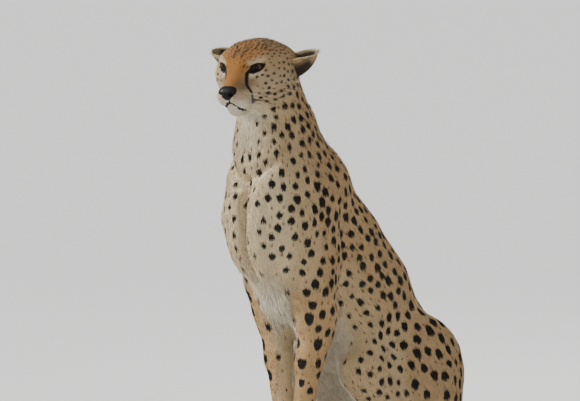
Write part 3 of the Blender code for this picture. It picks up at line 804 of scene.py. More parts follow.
BODY, HEAD, TAIL = Place.BODY, Place.HEAD, Place.TAIL
PATCHES = (
    # back, from the nape to the tail
    Patch(BODY, (0, -0.1, 0.85), (0, -0.03, 0.73), 0.04, 19, 0.34, 14, 5.2, Tone.TAWNY, 1.5),
    Patch(BODY, (0, -0.03, 0.73), (0, 0.066, 0.6), 0.045, 11, 0.2, 20, 7.4, Tone.TAWNY),
    Patch(BODY, (0, 0.066, 0.6), (0, 0.2, 0.43), 0.045, 10, 0.16, 22, 8.6, Tone.TAWNY),
    Patch(BODY, (0, 0.2, 0.43), (0, 0.32, 0.15), 0.045, 10, 0.16, 27, 9.2, Tone.TAWNY),
    # neck and throat
    Patch(BODY, (0.06, -0.13, 0.86), (0.085, -0.08, 0.74), 0.036, 10, 0.2, 18.5, 6.8, Tone.FLANK),
    Patch(BODY, (0.075, -0.17, 0.84), (0.088, -0.15, 0.74), 0.03, 11, 0.22, 19.5, 6.7, Tone.SIDE),
    Patch(BODY, (0.04, -0.215, 0.83), (0.044, -0.225, 0.75), 0.024, 13, 0.22, 20, 5.4, Tone.CREAM, 1.4),
    Patch(BODY, (0, -0.225, 0.87), (0, -0.232, 0.795), 0.028, 15, 0.24, 40, 0, Tone.WHITE),
    Patch(BODY, (0.008, -0.236, 0.77), (0.016, -0.24, 0.715), 0.026, 11, 0.17, 21, 6.2, Tone.CREAM, 1.6),
    # chest
    Patch(BODY, (0.02, -0.24, 0.72), (0.02, -0.245, 0.61), 0.03, 9.5, 0.13, 26, 6, Tone.CREAM),
    Patch(BODY, (0.015, -0.24, 0.61), (0.01, -0.205, 0.48), 0.028, 16, 0.16, 29, 5.8, Tone.CREAM),
    Patch(BODY, (0, -0.205, 0.48), (0, -0.12, 0.39), 0.032, 34, 0.32, 60, 0, Tone.WHITE),
    Patch(BODY, (0.08, -0.215, 0.7), (0.075, -0.19, 0.52), 0.03, 10, 0.16, 25, 7.4, Tone.CREAM),
    # shoulder, flank and belly
    Patch(BODY, (0.105, -0.15, 0.68), (0.1, -0.14, 0.5), 0.03, 9.5, 0.14, 23.5, 8.2, Tone.SIDE),
    Patch(BODY, (0.1, -0.06, 0.68), (0.112, -0.07, 0.48), 0.035, 9.5, 0.13, 22.5, 8.5, Tone.FLANK),
    Patch(BODY, (0.09, 0.02, 0.6), (0.115, 0.12, 0.42), 0.04, 9.5, 0.13, 22, 8.5, Tone.FLANK),
    Patch(BODY, (0.095, -0.02, 0.46), (0.105, 0.06, 0.37), 0.032, 10, 0.15, 23, 6.8, Tone.SIDE),
    Patch(BODY, (0, -0.05, 0.4), (0, 0.06, 0.27), 0.05, 26, 0.25, 60, 0, Tone.WHITE),
    # haunch, thigh and shank
    Patch(BODY, (0.135, 0.2, 0.4), (0.165, 0.23, 0.16), 0.05, 9.5, 0.12, 30, 10.6, Tone.FLANK),
    Patch(BODY, (0.1, 0.31, 0.25), (0.1, 0.3, 0.1), 0.045, 10, 0.15, 29, 9.6, Tone.FLANK),
    Patch(BODY, (0.13, 0.11, 0.38), (0.145, 0.03, 0.3), 0.036, 9.5, 0.12, 26, 8.4, Tone.SIDE),
    Patch(BODY, (0.14, -0.01, 0.28), (0.14, 0.11, 0.14), 0.03, 11, 0.15, 23, 6.6, Tone.SIDE),
    Patch(BODY, (0.14, 0.11, 0.14), (0.13, 0.2, 0.06), 0.026, 9, 0.12, 23, 6.8, Tone.LEG),
    Patch(BODY, (0.075, 0.02, 0.27), (0.07, 0.15, 0.13), 0.03, 18, 0.2, 60, 0, Tone.WHITE),
    Patch(BODY, (0.125, 0.19, 0.045), (0.128, 0.01, 0.05), 0.022, 6, 0.1, 17, 3.8, Tone.LEG),
    Patch(BODY, (0.128, 0.01, 0.05), (0.13, -0.09, 0.02), 0.018, 5, 0.1, 18, 0.9, Tone.SIDE),
    # foreleg
    Patch(BODY, (0.07, -0.04, 0.44), (0.066, -0.055, 0.33), 0.02, 9.5, 0.18, 22, 6.8, Tone.FLANK),
    Patch(BODY, (0.1, -0.085, 0.45), (0.078, -0.085, 0.29), 0.024, 9, 0.11, 26, 9.6, Tone.LEG),
    Patch(BODY, (0.075, -0.125, 0.43), (0.05, -0.112, 0.28), 0.02, 8, 0.1, 31, 12.5, Tone.LEG),
    Patch(BODY, (0.055, -0.095, 0.28), (0.036, -0.1, 0.13), 0.02, 7, 0.1, 25, 8.8, Tone.LEG),
    Patch(BODY, (0.03, -0.075, 0.38), (0.02, -0.075, 0.18), 0.018, 8, 0.12, 40, 2.5, Tone.CREAM),
    Patch(BODY, (0.036, -0.1, 0.13), (0.038, -0.115, 0.055), 0.02, 6, 0.1, 19, 4.4, Tone.LEG),
    Patch(BODY, (0.038, -0.115, 0.05), (0.042, -0.17, 0.02), 0.018, 5, 0.1, 18, 1, Tone.SIDE),
    # tail, round the left haunch
    Patch(TAIL, (0.008, 0.318, 0.088), (0.052, 0.38, 0.024), 0.026, 10, 0.16, 28, 9.6, Tone.FLANK),
    Patch(TAIL, (0.052, 0.38, 0.024), (0.108, 0.39, 0.022), 0.024, 10, 0.18, 28, 9.6, Tone.FLANK),
    Patch(TAIL, (0.108, 0.39, 0.022), (0.165, 0.352, 0.022), 0.024, 10, 0.18, 28, 9.6, Tone.FLANK),
    Patch(TAIL, (0.165, 0.352, 0.022), (0.2, 0.287, 0.021), 0.024, 10, 0.18, 28, 9.6, Tone.FLANK),
    Patch(TAIL, (0.2, 0.287, 0.021), (0.222, 0.12, 0.021), 0.024, 10, 0.18, 28, 9.6, Tone.FLANK),
    Patch(TAIL, (0.222, 0.12, 0.021), (0.205, -0.045, 0.022), 0.024, 11, 0.2, 28, 0, Tone.SIDE),
    Patch(TAIL, (0.205, -0.045, 0.022), (0.188, -0.13, 0.02), 0.024, 18, 0.26, 28, 0, Tone.WHITE),
    # head: top
    Patch(HEAD, (0, -0.146, -0.026), (0, -0.098, 0.018), 0.014, 4, 0.13, 9, 0, Tone.RUFOUS),
    Patch(HEAD, (0.004, -0.098, 0.02), (0.004, -0.05, 0.042), 0.018, 5.5, 0.22, 6.6, 1.9, Tone.RUFOUS, 1.9),
    Patch(HEAD, (0.006, -0.05, 0.042), (0.006, 0.02, 0.042), 0.024, 8.5, 0.34, 7.2, 2.9, Tone.RUFOUS, 1.8),
    Patch(HEAD, (0, 0.02, 0.042), (0, 0.078, 0), 0.028, 13, 0.36, 8.8, 3.9, Tone.TAWNY, 1.8),
    Patch(HEAD, (0.036, -0.046, 0.032), (0.058, 0.02, 0.02), 0.018, 7, 0.26, 7.6, 2.6, Tone.TAWNY, 1.6),
    Patch(HEAD, (0.026, -0.086, 0.024), (0.04, -0.05, 0.034), 0.012, 5, 0.15, 7, 1.4, Tone.RUFOUS, 1.5),
    # head: sides
    Patch(HEAD, (0.058, -0.052, 0.006), (0.068, 0.002, 0.002), 0.018, 6, 0.17, 11.5, 2.4, Tone.FLANK, 1.3),
    Patch(HEAD, (0.046, -0.076, -0.028), (0.068, -0.01, -0.032), 0.018, 6, 0.17, 12.4, 3.1, Tone.CHEEK),
    Patch(HEAD, (0.04, -0.078, -0.056), (0.064, -0.01, -0.066), 0.018, 9, 0.2, 13.8, 4.4, Tone.SIDE),
    Patch(HEAD, (0.064, -0.01, -0.066), (0.066, 0.03, -0.08), 0.024, 13, 0.25, 16, 5.7, Tone.SIDE),
    Patch(HEAD, (0.069, 0.005, -0.03), (0.066, 0.05, -0.04), 0.022, 10, 0.2, 13.8, 4.8, Tone.FLANK),
    # muzzle, chin and the pale marks round the eyes
    Patch(HEAD, (0.016, -0.14, -0.05), (0.04, -0.096, -0.058), 0.0095, 3.6, 0.13, 9, 0, Tone.CHEEK),
    Patch(HEAD, (0.008, -0.148, -0.062), (0.024, -0.128, -0.074), 0.0095, 3.4, 0.13, 9, 0, Tone.WHITE),
    # painted shade along the side of the nose bridge
    Patch(HEAD, (0.018, -0.128, -0.034), (0.034, -0.092, -0.03), 0.009, 4, 0.13, 9, 0, Tone.GREY),
    Patch(HEAD, (0.036, -0.1, -0.046), (0.05, -0.08, -0.046), 0.008, 4.5, 0.13, 9, 0, Tone.CHEEK),
    Patch(HEAD, (0, -0.134, -0.084), (0, -0.098, -0.104), 0.015, 6, 0.23, 9, 0, Tone.WHITE),
    Patch(HEAD, (0.018, -0.11, -0.096), (0.03, -0.07, -0.094), 0.012, 8, 0.22, 9, 0, Tone.CREAM),
    Patch(HEAD, (0, -0.098, -0.104), (0, -0.04, -0.11), 0.02, 16, 0.3, 9, 0, Tone.WHITE),
    Patch(HEAD, (0.033, -0.094, -0.016), (0.048, -0.076, -0.016), 0.0048, 3.4, 0.11, 9, 0, Tone.CREAM),
    Patch(HEAD, (0.028, -0.092, 0.011), (0.05, -0.07, 0.014), 0.0042, 3.6, 0.11, 9, 0, Tone.CREAM),
    # ears
    Patch(HEAD, (0.072, 0.024, -0.01), (0.132, 0.03, 0.004), 0.016, 8, 0.26, 9, 0, Tone.FLANK),
)


@dataclass
class Fields:
    """What the coat is at each of many places."""

    lay: np.ndarray
    hair: np.ndarray
    lift: np.ndarray
    gap: np.ndarray
    spot: np.ndarray
    long: np.ndarray
    ground: np.ndarray


@dataclass(frozen=True)
class Spot:
    """One spot: where it lies, which way it is long, and the form of its outline."""

    centre: np.ndarray
    way: np.ndarray
    radius: float
    long: float         # its length over its width
    turn: float         # turns the waves of its outline
    freckle: bool


@dataclass
class Plan:
    """Works out the coat's lay, length, ground colour and marks at any place."""

    head: HeadFrame
    skin: Skin
    seed: int = 14
    tries: int = 42000          # places tried for a spot
    freckle_tries: int = 9000   # places tried for a freckle
    places: np.ndarray = field(init=False)
    normals: np.ndarray = field(init=False)
    ear: np.ndarray = field(init=False)     # along an ear, across it, and 1 outside, 2 inside, 3 on a lid
    fields: Fields = field(init=False)
    spots: list[Spot] = field(init=False)

    def __post_init__(self) -> None:
        """Reads the skin and lays out its fields and spots."""
        self.places = points_of(self.skin.piece.data)
        self.normals = normals_of(self.skin.piece.data)
        self.ear = read_rows(self.skin.piece.data.attributes["ear"].data, "vector", 3).astype(float)
        self.fields = self.read_fields()
        self.spots = self.scatter_spots()

    def read_fields(self) -> Fields:
        """Blends the patches over the skin."""
        local = mirrored(self.head.to_local(self.places))
        body = self.places - BODY_PLACE
        side = mirrored(body)
        sign = np.sign(self.head.to_local(self.places)[:, :1])
        body_sign = np.sign(body[:, :1])
        far = segment_distance(local, np.array((0, -0.150, -0.050)), np.array((0, -0.010, -0.020)))
        in_head = 1 - ramp(far, 0.080, 0.105)
        in_head = np.maximum(in_head, (self.ear[:, 2] > 0) & (self.ear[:, 2] < 2.5))
        behind = ramp(local[:, 1], 0.035, 0.075)
        in_head = in_head * (1 - behind * (self.ear[:, 2] < 0.5))
        total = np.full(len(body), 1e-9)
        lay = np.zeros((len(body), 3))
        sums = np.zeros((len(body), 8))
        tail = self.near_tail(body)
        for patch in PATCHES:
            where = {Place.HEAD: local, Place.BODY: side, Place.TAIL: body}[patch.place]
            start, end = np.array(patch.start, float), np.array(patch.end, float)
            weight = np.exp(-((segment_distance(where, start, end) / patch.reach) ** 2))
            run = (end - start) / np.linalg.norm(end - start)
            if patch.place is Place.HEAD:
                weight *= in_head
                way = np.column_stack((run[0] * sign, np.tile(run[1:], (len(body), 1)))) @ self.head.turn
            elif patch.place is Place.BODY:
                weight *= (1 - in_head) * (1 - tail)
                way = np.column_stack((run[0] * body_sign, np.tile(run[1:], (len(body), 1))))
            else:
                weight *= tail
                way = np.tile(run, (len(body), 1))
            weight += 1e-7 * (patch.place is Place.BODY)
            total += weight
            lay += way * weight[:, None]
            values = (patch.hair, patch.lift, patch.gap, patch.spot, patch.long, *patch.tone.value)
            sums += weight[:, None] * np.array(values)
        sums /= total[:, None]
        lips = run_distance(local, traced(MOUTH_LINE, local))
        sums[:, 0] *= 0.55 + 0.45 * ramp(lips, 0.002, 0.009)
        lay -= self.normals * np.sum(lay * self.normals, axis=1)[:, None]
        return Fields(
            lay=unit(lay), hair=sums[:, 0] / 1000, lift=sums[:, 1], gap=sums[:, 2] / 1000,
            spot=sums[:, 3] / 1000, long=sums[:, 4], ground=self.dress_ground(sums[:, 5:], local),
        )

    @staticmethod
    def near_tail(body: np.ndarray) -> np.ndarray:
        """How much each place belongs to the tail, from 0 to 1."""
        near = np.full(len(body), FAR)
        for patch in PATCHES:
            if patch.place is Place.TAIL:
                near = np.minimum(near, segment_distance(body, np.array(patch.start), np.array(patch.end)))
        outer = (body[:, 0] > 0.172) | (body[:, 1] > 0.325)
        return (1 - ramp(near, 0.030, 0.045)) * outer

    def dress_ground(self, ground: np.ndarray, local: np.ndarray) -> np.ndarray:
        """The ground colour with the backs and insides of the ears; the insides get painted shade, darkest
        in the middle of the hollow.
        """
        along, across, layer = self.ear.T
        ground = ground.copy()
        outer, inner = layer == 1, layer == 2
        rim = 1 - ramp(1 - np.abs(across), 0.05, 0.35)
        tip = ramp(along, 0.72, 0.92)
        dark = np.array((0.045, 0.030, 0.020))
        pale = np.array(Tone.CREAM.value)
        tawny = np.array(Tone.LEG.value)
        back = tawny + (dark - tawny) * ((1 - rim) * (1 - 0.8 * tip))[:, None]
        # painted shade: the inside of each ear's cup darkens towards its middle and away from the tip,
        # where its hollow lies in shade
        inward = ramp(1 - np.abs(across), 0.03, 0.16) * (1 - 0.75 * tip)
        deep = pale * 0.85 + (dark - pale * 0.85) * inward[:, None]
        ground[outer] = back[outer]
        ground[inner] = deep[inner]
        ground[layer == 3] = LINE_DARK
        return ground

    def scatter_spots(self) -> list[Spot]:
        """Places the spots evenly but not in rows, and then the freckles between them."""
        rng = np.random.default_rng(self.seed)
        taken: dict[tuple[int, int, int], list[tuple[np.ndarray, float]]] = {}
        cell = 0.045
        spots = []

        def free(place: np.ndarray, gap: float, share: float) -> bool:
            """Whether no spot is nearer than the gap."""
            base = np.floor(place / cell).astype(int)
            for i in (-1, 0, 1):
                for j in (-1, 0, 1):
                    for k in (-1, 0, 1):
                        for other, room in taken.get((base[0] + i, base[1] + j, base[2] + k), ()):
                            if np.linalg.norm(place - other) < max(gap, room) * share:
                                return False
            return True

        def add(index: int, radius: float, gap: float, freckle: bool) -> None:
            """Puts one spot down."""
            place = self.places[index]
            taken.setdefault(tuple(np.floor(place / cell).astype(int)), []).append((place, gap))
            long = self.fields.long[index] * rng.uniform(0.88, 1.12)
            turn = rng.uniform(0, math.tau)
            spots.append(Spot(place, self.fields.lay[index], radius, long, turn, freckle))

        plain = self.ear[:, 2] < 0.5
        order = rng.permutation(np.nonzero((self.fields.spot > 0.0008) & plain)[0])[:self.tries]
        for index in order:
            gap = self.fields.gap[index]
            if free(self.places[index], gap, 1.0):
                add(index, self.fields.spot[index] * rng.uniform(0.80, 1.12), gap, freckle=False)
        small = rng.permutation(np.nonzero((self.fields.spot > 0.0040) & plain)[0])[:self.freckle_tries]
        for index in small:
            gap = self.fields.gap[index]
            if free(self.places[index], gap, 0.60):
                add(index, rng.uniform(0.0013, 0.0027), 0.4 * gap, freckle=True)
        LOG.info("spots: %d", len(spots))
        return spots

    def marks(self, places: np.ndarray) -> tuple[np.ndarray, np.ndarray]:
        """Distance to the edge of the nearest mark, negative inside it.

        Args:
            places: Points on the skin.

        Returns:
            The distances, and the mark's colour at each point.
        """
        edge = np.full(len(places), NO_MARK)
        shade = np.tile(np.array(SPOT_DARK), (len(places), 1))
        tree = KDTree(len(places))
        for index, place in enumerate(places):
            tree.insert(place, index)
        tree.balance()
        for spot in self.spots:
            found = tree.find_range(spot.centre, spot.radius * spot.long * 1.25 + 0.0045)
            if not found:
                continue
            index = np.array([hit[1] for hit in found])
            offset = places[index] - spot.centre
            along = offset @ spot.way
            across = np.sqrt(np.maximum(np.sum(offset * offset, axis=1) - along * along, 0))
            angle = np.arctan2(across, along)
            wobble = 1 + 0.09 * np.sin(3 * angle + spot.turn) + 0.06 * np.sin(5 * angle + 2 * spot.turn)
            away = np.hypot(along / spot.long, across) / wobble - spot.radius
            closer = away < edge[index]
            index, away = index[closer], away[closer]
            edge[index] = away
            shade[index] = FRECKLE_DARK if spot.freckle else SPOT_DARK
        self.draw_lines(places, edge, shade)
        self.draw_rings(places, edge, shade)
        return edge, shade

    def draw_lines(self, places: np.ndarray, edge: np.ndarray, shade: np.ndarray) -> None:
        """Adds the tear lines, lips, lids' rims, brow streaks and whisker dots."""
        local = self.head.to_local(places)
        near = np.linalg.norm(local - FACE_MIDDLE, axis=1) < 0.12
        side = mirrored(local[near])
        away = np.full(len(side), NO_MARK)
        ground = mirrored(self.head.to_local(self.places))
        for line in FACE_LINES:
            run = traced(line.run, ground)
            for index, (start, end) in enumerate(zip(run, run[1:])):
                if np.linalg.norm(end - start) > 1e-6:
                    half = line.half(index / len(run))
                    away = np.minimum(away, segment_distance(side, start, end) - half)
        lids = Lids()
        seen = (side - np.array(lids.centre)) @ lids.axes().T
        rim = np.where(seen[:, 2] > 0, lids.opening(seen), NO_MARK)
        away = np.minimum(away, rim - 0.0030 - 0.0022 * ramp(-seen[:, 0], 0.004, 0.014))
        for root in WHISKER_ROOTS:
            dot = ground[np.argmin(np.sum((ground - np.array(root)) ** 2, axis=1))]
            away = np.minimum(away, np.linalg.norm(side - dot, axis=1) - 0.0009)
        closer = away < edge[near]
        index = np.nonzero(near)[0][closer]
        edge[index] = away[closer]
        shade[index] = LINE_DARK

    @staticmethod
    def draw_rings(places: np.ndarray, edge: np.ndarray, shade: np.ndarray) -> None:
        """Adds the dark rings towards the end of the tail."""
        body = places - BODY_PLACE
        near = (body[:, 0] > 0.165) & (body[:, 1] < 0.150) & (body[:, 2] < 0.060)
        near &= Plan.near_tail(body) > 0.5
        along = body[near][:, 1]
        for centre, half in ((0.118, 0.009), (0.072, 0.012), (0.020, 0.014), (-0.036, 0.016)):
            wave = 0.003 * np.sin(60 * body[near][:, 0] + 90 * centre)
            away = np.abs(along + wave - centre) - half
            index = np.nonzero(near)[0]
            closer = away < edge[index]
            edge[index[closer]] = away[closer]
            shade[index[closer]] = SPOT_DARK


# ---------------------------------------------------------------- the coat
@dataclass
class Coat:
    """The solid tufts over the skin, each one rooted in it and lying along it."""

    plan: Plan
    tufts: int = 335000
    cover: float = 3.2          # how many tufts lie over each place
    locks: float = 0.0155       # hair from this length on grows in longer, bent tufts
    most_faces: int = 198000    # triangles of one piece at most
    seed: int = 23
    pieces: list[bpy.types.Object] = field(default_factory=list)

    def build(self, finish: "CoatFinish") -> None:
        """Grows the short coat and the long locks.

        Args:
            finish: The material's maker.
        """
        rng = np.random.default_rng(self.seed)
        roots = self.sow(rng)
        long = roots["hair"] > self.locks
        paint = finish.build()
        self.grow(rng, {k: v[~long] for k, v in roots.items()}, "short_coat", 1, paint)
        self.grow(rng, {k: v[long] for k, v in roots.items()}, "long_coat", 2, paint)

    def sow(self, rng: np.random.Generator) -> dict[str, np.ndarray]:
        """Chooses the roots, evenly over the skin and closer where the hair is short.

        Returns:
            What is known at each root, under its name.
        """
        mesh = self.plan.skin.piece.data
        mesh.calc_loop_triangles()
        corners = read_rows(mesh.loop_triangles, "vertices", 3, np.int32)
        loops = read_rows(mesh.loop_triangles, "loops", 3, np.int32)
        flat = read_rows(mesh.uv_layers["OFBake"].data, "uv", 2)
        plan, fields = self.plan, self.plan.fields
        places = plan.places[corners]
        across = np.cross(places[:, 1] - places[:, 0], places[:, 2] - places[:, 0])
        area = 0.5 * np.linalg.norm(across, axis=1)
        hair = fields.hair[corners].mean(axis=1)
        wanted = area * self.cover / (0.5 * hair * self.width(hair))
        wanted *= self.keep(places.mean(axis=1), corners)
        wanted *= min(1.0, self.tufts / wanted.sum())
        steps = np.cumsum(wanted)
        picks = np.searchsorted(steps, np.arange(0.5, steps[-1]))
        share = rng.random((len(picks), 2))
        share[share.sum(axis=1) > 1] = 1 - share[share.sum(axis=1) > 1]
        weights = np.column_stack((1 - share.sum(axis=1), share))
        blend = {}
        for name, values in (
            ("place", plan.places), ("normal", plan.normals), ("lay", fields.lay),
            ("ground", fields.ground), ("ear", plan.ear),
        ):
            blend[name] = np.einsum("nk,nkd->nd", weights, values[corners[picks]])
        for name in ("hair", "lift"):
            blend[name] = np.einsum("nk,nk->n", weights, getattr(fields, name)[corners[picks]])
        blend["uv"] = np.einsum("nk,nkd->nd", weights, flat[loops[picks]])
        shown = blend["place"] + unit(blend["lay"]) * (0.68 * blend["hair"])[:, None]
        blend["edge"], blend["shade"] = plan.marks(shown)
        return blend

    @staticmethod
    def width(hair: np.ndarray) -> np.ndarray:
        """How wide a tuft of this length is."""
        return np.clip(0.110 * hair + 0.00018, 0.00050, 0.0014)

    def keep(self, places: np.ndarray, corners: np.ndarray) -> np.ndarray:
        """Thins the coat to nothing on the lids' edges, the eyes, the lips, the nose and the soles."""
        head = self.plan.head
        side = mirrored(head.to_local(places))
        lids = Lids()
        seen = (side - np.array(lids.centre)) @ lids.axes().T
        near_eye = (seen[:, 2] > 0) & (np.linalg.norm(seen, axis=1) < 0.028)
        keep = np.where(near_eye, ramp(lids.opening(seen), 0.0010, 0.0026), 1.0)
        keep *= ramp(NoseLeather.cover(side), 0.98, 1.10)
        ground = mirrored(head.to_local(self.plan.places))
        for run in (MOUTH_LINE, PHILTRUM):
            keep *= ramp(run_distance(side, traced(run, ground)), 0.0010, 0.0018)
        keep *= ramp(places[:, 2], 0.002, 0.008)
        keep *= self.plan.ear[corners[:, 0], 2] < 2.5
        return keep

    def grow(
        self, rng: np.random.Generator, roots: dict[str, np.ndarray], label: str, bends: int,
        paint: bpy.types.Material,
    ) -> None:
        """Makes the tufts' meshes and shares them among pieces.

        Args:
            rng: Where the scatter comes from.
            roots: What is known at each root.
            label: The name of the pieces.
            bends: How many lengths each tuft has.
            paint: The coat's material.
        """
        count = len(roots["hair"])
        normal = unit(roots["normal"])
        lay = unit(roots["lay"] + 0.16 * rng.normal(size=(count, 3)))
        lay = unit(lay - normal * np.sum(lay * normal, axis=1)[:, None])
        beside = np.cross(normal, lay)
        length = roots["hair"] * rng.uniform(0.72, 1.18, count)
        width = self.width(roots["hair"]) * rng.uniform(0.8, 1.25, count)
        lift = roots["lift"] * rng.uniform(0.55, 1.5, count)
        inside_ear = roots["ear"][:, 2] > 1.5
        rim = ramp(np.abs(roots["ear"][:, 1]), 0.70, 0.95)
        length = np.where(inside_ear, length * (0.8 + 0.7 * rim), length)
        lift = np.where(inside_ear, lift * (0.5 + 1.6 * rim), lift)
        base = roots["place"] - normal * np.minimum(0.0006, 0.04 * roots["hair"])[:, None]
        rise = 0.42 * width

        def ring(middle: np.ndarray, half: np.ndarray, top: np.ndarray) -> np.ndarray:
            """The three corners of each tuft about its middle."""
            aside = beside * half[:, None]
            return np.stack((middle - aside, middle + aside, middle + normal * top[:, None]), axis=1)

        rings = [ring(base, width / 2, rise)]
        if bends == 2:
            middle = base + lay * (length * 0.5)[:, None] + normal * (length * lift * 0.72)[:, None]
            rings.append(ring(middle, width * 0.42, rise * 0.9))
        droop = 1.0 if bends == 1 else 0.82
        tip = base + lay * length[:, None] + normal * (length * lift * droop)[:, None]
        points = np.concatenate(rings + [tip[:, None]], axis=1)
        points[:, :, 2] = np.maximum(points[:, :, 2], 0.0003 + 0.0001 * np.arange(points.shape[1]))
        sides = ((0, 1), (1, 2), (2, 0))
        faces = [(0, 2, 1)]
        for ring in range(len(rings) - 1):
            a, b = 3 * ring, 3 * ring + 3
            for one, two in sides:
                faces += [(a + one, a + two, b + two), (a + one, b + two, b + one)]
        last = 3 * (len(rings) - 1)
        faces += [(last + one, last + two, last + 3) for one, two in sides]
        colour = self.colours(rng, roots, points.shape[1])
        room = self.most_faces // len(faces)
        for part, start in enumerate(range(0, count, room)):
            own = slice(start, start + room)
            self.piece(
                f"{label}_{part}", points[own], np.array(faces), colour[own], roots["uv"][own], paint,
            )

    @staticmethod
    def colours(rng: np.random.Generator, roots: dict[str, np.ndarray], corners: int) -> np.ndarray:
        """The colour at each vertex of each tuft, darker at its root by painted shade of the coat's depth.
        """
        count = len(roots["hair"])
        ragged = roots["edge"] + rng.normal(0, 0.00030, count)
        dark = 1 - ramp(ragged, -0.0004, 0.0006)
        ground = roots["ground"] * rng.uniform(0.85, 1.12, count)[:, None]
        ground *= 1 + rng.normal(0, 0.03, (count, 3))
        mark = roots["shade"] * rng.uniform(0.7, 1.6, count)[:, None]
        colour = ground + (mark - ground) * dark[:, None]
        # painted shade of the coat's depth, darkening each tuft towards its root
        depth = np.array(TUFT_PAINTED_SHADE[corners])
        rows = np.clip(colour[:, None] * depth[None, :, None], 0.002, 0.95)
        return np.concatenate((rows, np.ones((count, corners, 1))), axis=2)

    def piece(
        self, name: str, points: np.ndarray, faces: np.ndarray, colour: np.ndarray, uv: np.ndarray,
        paint: bpy.types.Material,
    ) -> None:
        """Makes one object of many tufts.

        Args:
            name: The object's name.
            points: The corners of each tuft.
            faces: The triangles of one tuft.
            colour: The colour of each corner.
            uv: Where each root lies on the skin's unwrap.
            paint: The coat's material.
        """
        count, corners = points.shape[:2]
        index = (faces[None] + (np.arange(count) * corners)[:, None, None]).reshape(-1)
        mesh = bpy.data.meshes.new(name)
        mesh.vertices.add(count * corners)
        mesh.vertices.foreach_set("co", points.astype(np.float32).ravel())
        mesh.loops.add(len(index))
        mesh.loops.foreach_set("vertex_index", index.astype(np.int32))
        mesh.polygons.add(len(index) // 3)
        mesh.polygons.foreach_set("loop_start", np.arange(0, len(index), 3, dtype=np.int32))
        mesh.update(calc_edges=True)
        set_attribute(mesh, "coat_colour", colour.reshape(-1, 4))
        spread = np.zeros((corners, 2))
        spread[:, 0] = [(-0.0015, 0.0015, 0.0)[k % 3] for k in range(corners - 1)] + [0.0]
        spread[:, 1] = [-0.0015 + 0.0015 * (k // 3) for k in range(corners - 1)] + [0.0015]
        patch = (uv[:, None] + spread[None]).reshape(-1, 2)
        layer = mesh.uv_layers.new(name="OFBake")
        layer.data.foreach_set("uv", patch[index].astype(np.float32).ravel())
        mesh.materials.append(paint)
        mesh.shade_smooth()
        self.pieces.append(new_object(name, mesh))
        LOG.info("%s: %d tufts", name, count)


# ---------------------------------------------------------------- finishes
class Paint:
    """A procedural material while its nodes are put together."""

    def __init__(self, name: str, **shading: object) -> None:
        """Starts the material.

        Args:
            name: The material's name.
            shading: Values of the shader's own sockets, with _ for a space.
        """
        self.material = bpy.data.materials.new(name)
        self.material.use_nodes = True
        self.tree = self.material.node_tree
        self.shader = self.tree.nodes["Principled BSDF"]
        self.fill(self.shader, shading)

    @staticmethod
    def fill(node: bpy.types.Node, values: dict[str, object]) -> None:
        """Sets the sockets of a node by their names, with _ for a space."""
        for name, value in values.items():
            node.inputs[name.replace("_", " ")].default_value = value

    def node(self, kind: str, **values: object) -> bpy.types.Node:
        """Adds a node and sets its sockets."""
        made = self.tree.nodes.new("ShaderNode" + kind)
        self.fill(made, values)
        return made

    def link(self, source: bpy.types.NodeSocket, target: bpy.types.NodeSocket) -> None:
        """Joins an output to an input."""
        self.tree.links.new(source, target)

    def attribute(self, name: str, output: str = "Color") -> bpy.types.NodeSocket:
        """What the mesh stores under a name."""
        made = self.node("Attribute")
        made.attribute_name = name
        return made.outputs[output]

    def noise(
        self, scale: float, detail: float, where: bpy.types.NodeSocket | None = None
    ) -> bpy.types.NodeSocket:
        """Noise over the object's own coordinates, or over another vector."""
        made = self.node("TexNoise", Scale=scale, Detail=detail)
        self.link(where or self.node("TexCoord").outputs["Object"], made.inputs["Vector"])
        return made.outputs["Fac"]

    def stretch(
        self, value: bpy.types.NodeSocket, old: tuple[float, float], new: tuple[float, float]
    ) -> bpy.types.NodeSocket:
        """A value laid from an old range over a new one."""
        made = self.node("MapRange", From_Min=old[0], From_Max=old[1], To_Min=new[0], To_Max=new[1])
        self.link(value, made.inputs["Value"])
        return made.outputs["Result"]

    def shifted(
        self, value: bpy.types.NodeSocket, noise: bpy.types.NodeSocket, amount: float
    ) -> bpy.types.NodeSocket:
        """A value with a share of some noise added."""
        made = self.node("Math")
        made.operation = "MULTIPLY_ADD"
        made.inputs[1].default_value = amount
        self.link(noise, made.inputs[0])
        self.link(value, made.inputs[2])
        return made.outputs["Value"]

    def mix(self, share: bpy.types.NodeSocket) -> bpy.types.Node:
        """A mix of two colours that gives the shader its colour."""
        made = self.node("Mix")
        made.data_type = "RGBA"
        self.link(share, made.inputs["Factor"])
        self.link(made.outputs["Result"], self.shader.inputs["Base Color"])
        return made

    def bump(self, height: bpy.types.NodeSocket, strength: float, distance: float) -> None:
        """Lets a height roughen the surface."""
        made = self.node("Bump", Strength=strength, Distance=distance)
        self.link(height, made.inputs["Height"])
        self.link(made.outputs["Normal"], self.shader.inputs["Normal"])


@dataclass(frozen=True)
class CoatFinish:
    """The soft hair of the coat, coloured by its own marks."""

    name: str = "coat_hair"
    roughness: float = 0.78
    sheen: float = 0.08

    def build(self) -> bpy.types.Material:
        """Makes the material."""
        paint = Paint(
            self.name, Roughness=self.roughness, Specular_IOR_Level=0.18, Sheen_Weight=self.sheen,
            Sheen_Roughness=0.45, Sheen_Tint=(1.0, 0.93, 0.82, 1.0),
        )
        tint = paint.node("VectorMath")
        tint.operation = "SCALE"
        paint.link(paint.attribute("coat_colour"), tint.inputs[0])
        paint.link(paint.stretch(paint.noise(38.0, 2.0), (0.3, 0.7), (0.88, 1.08)), tint.inputs["Scale"])
        paint.link(tint.outputs["Vector"], paint.shader.inputs["Base Color"])
        return paint.material


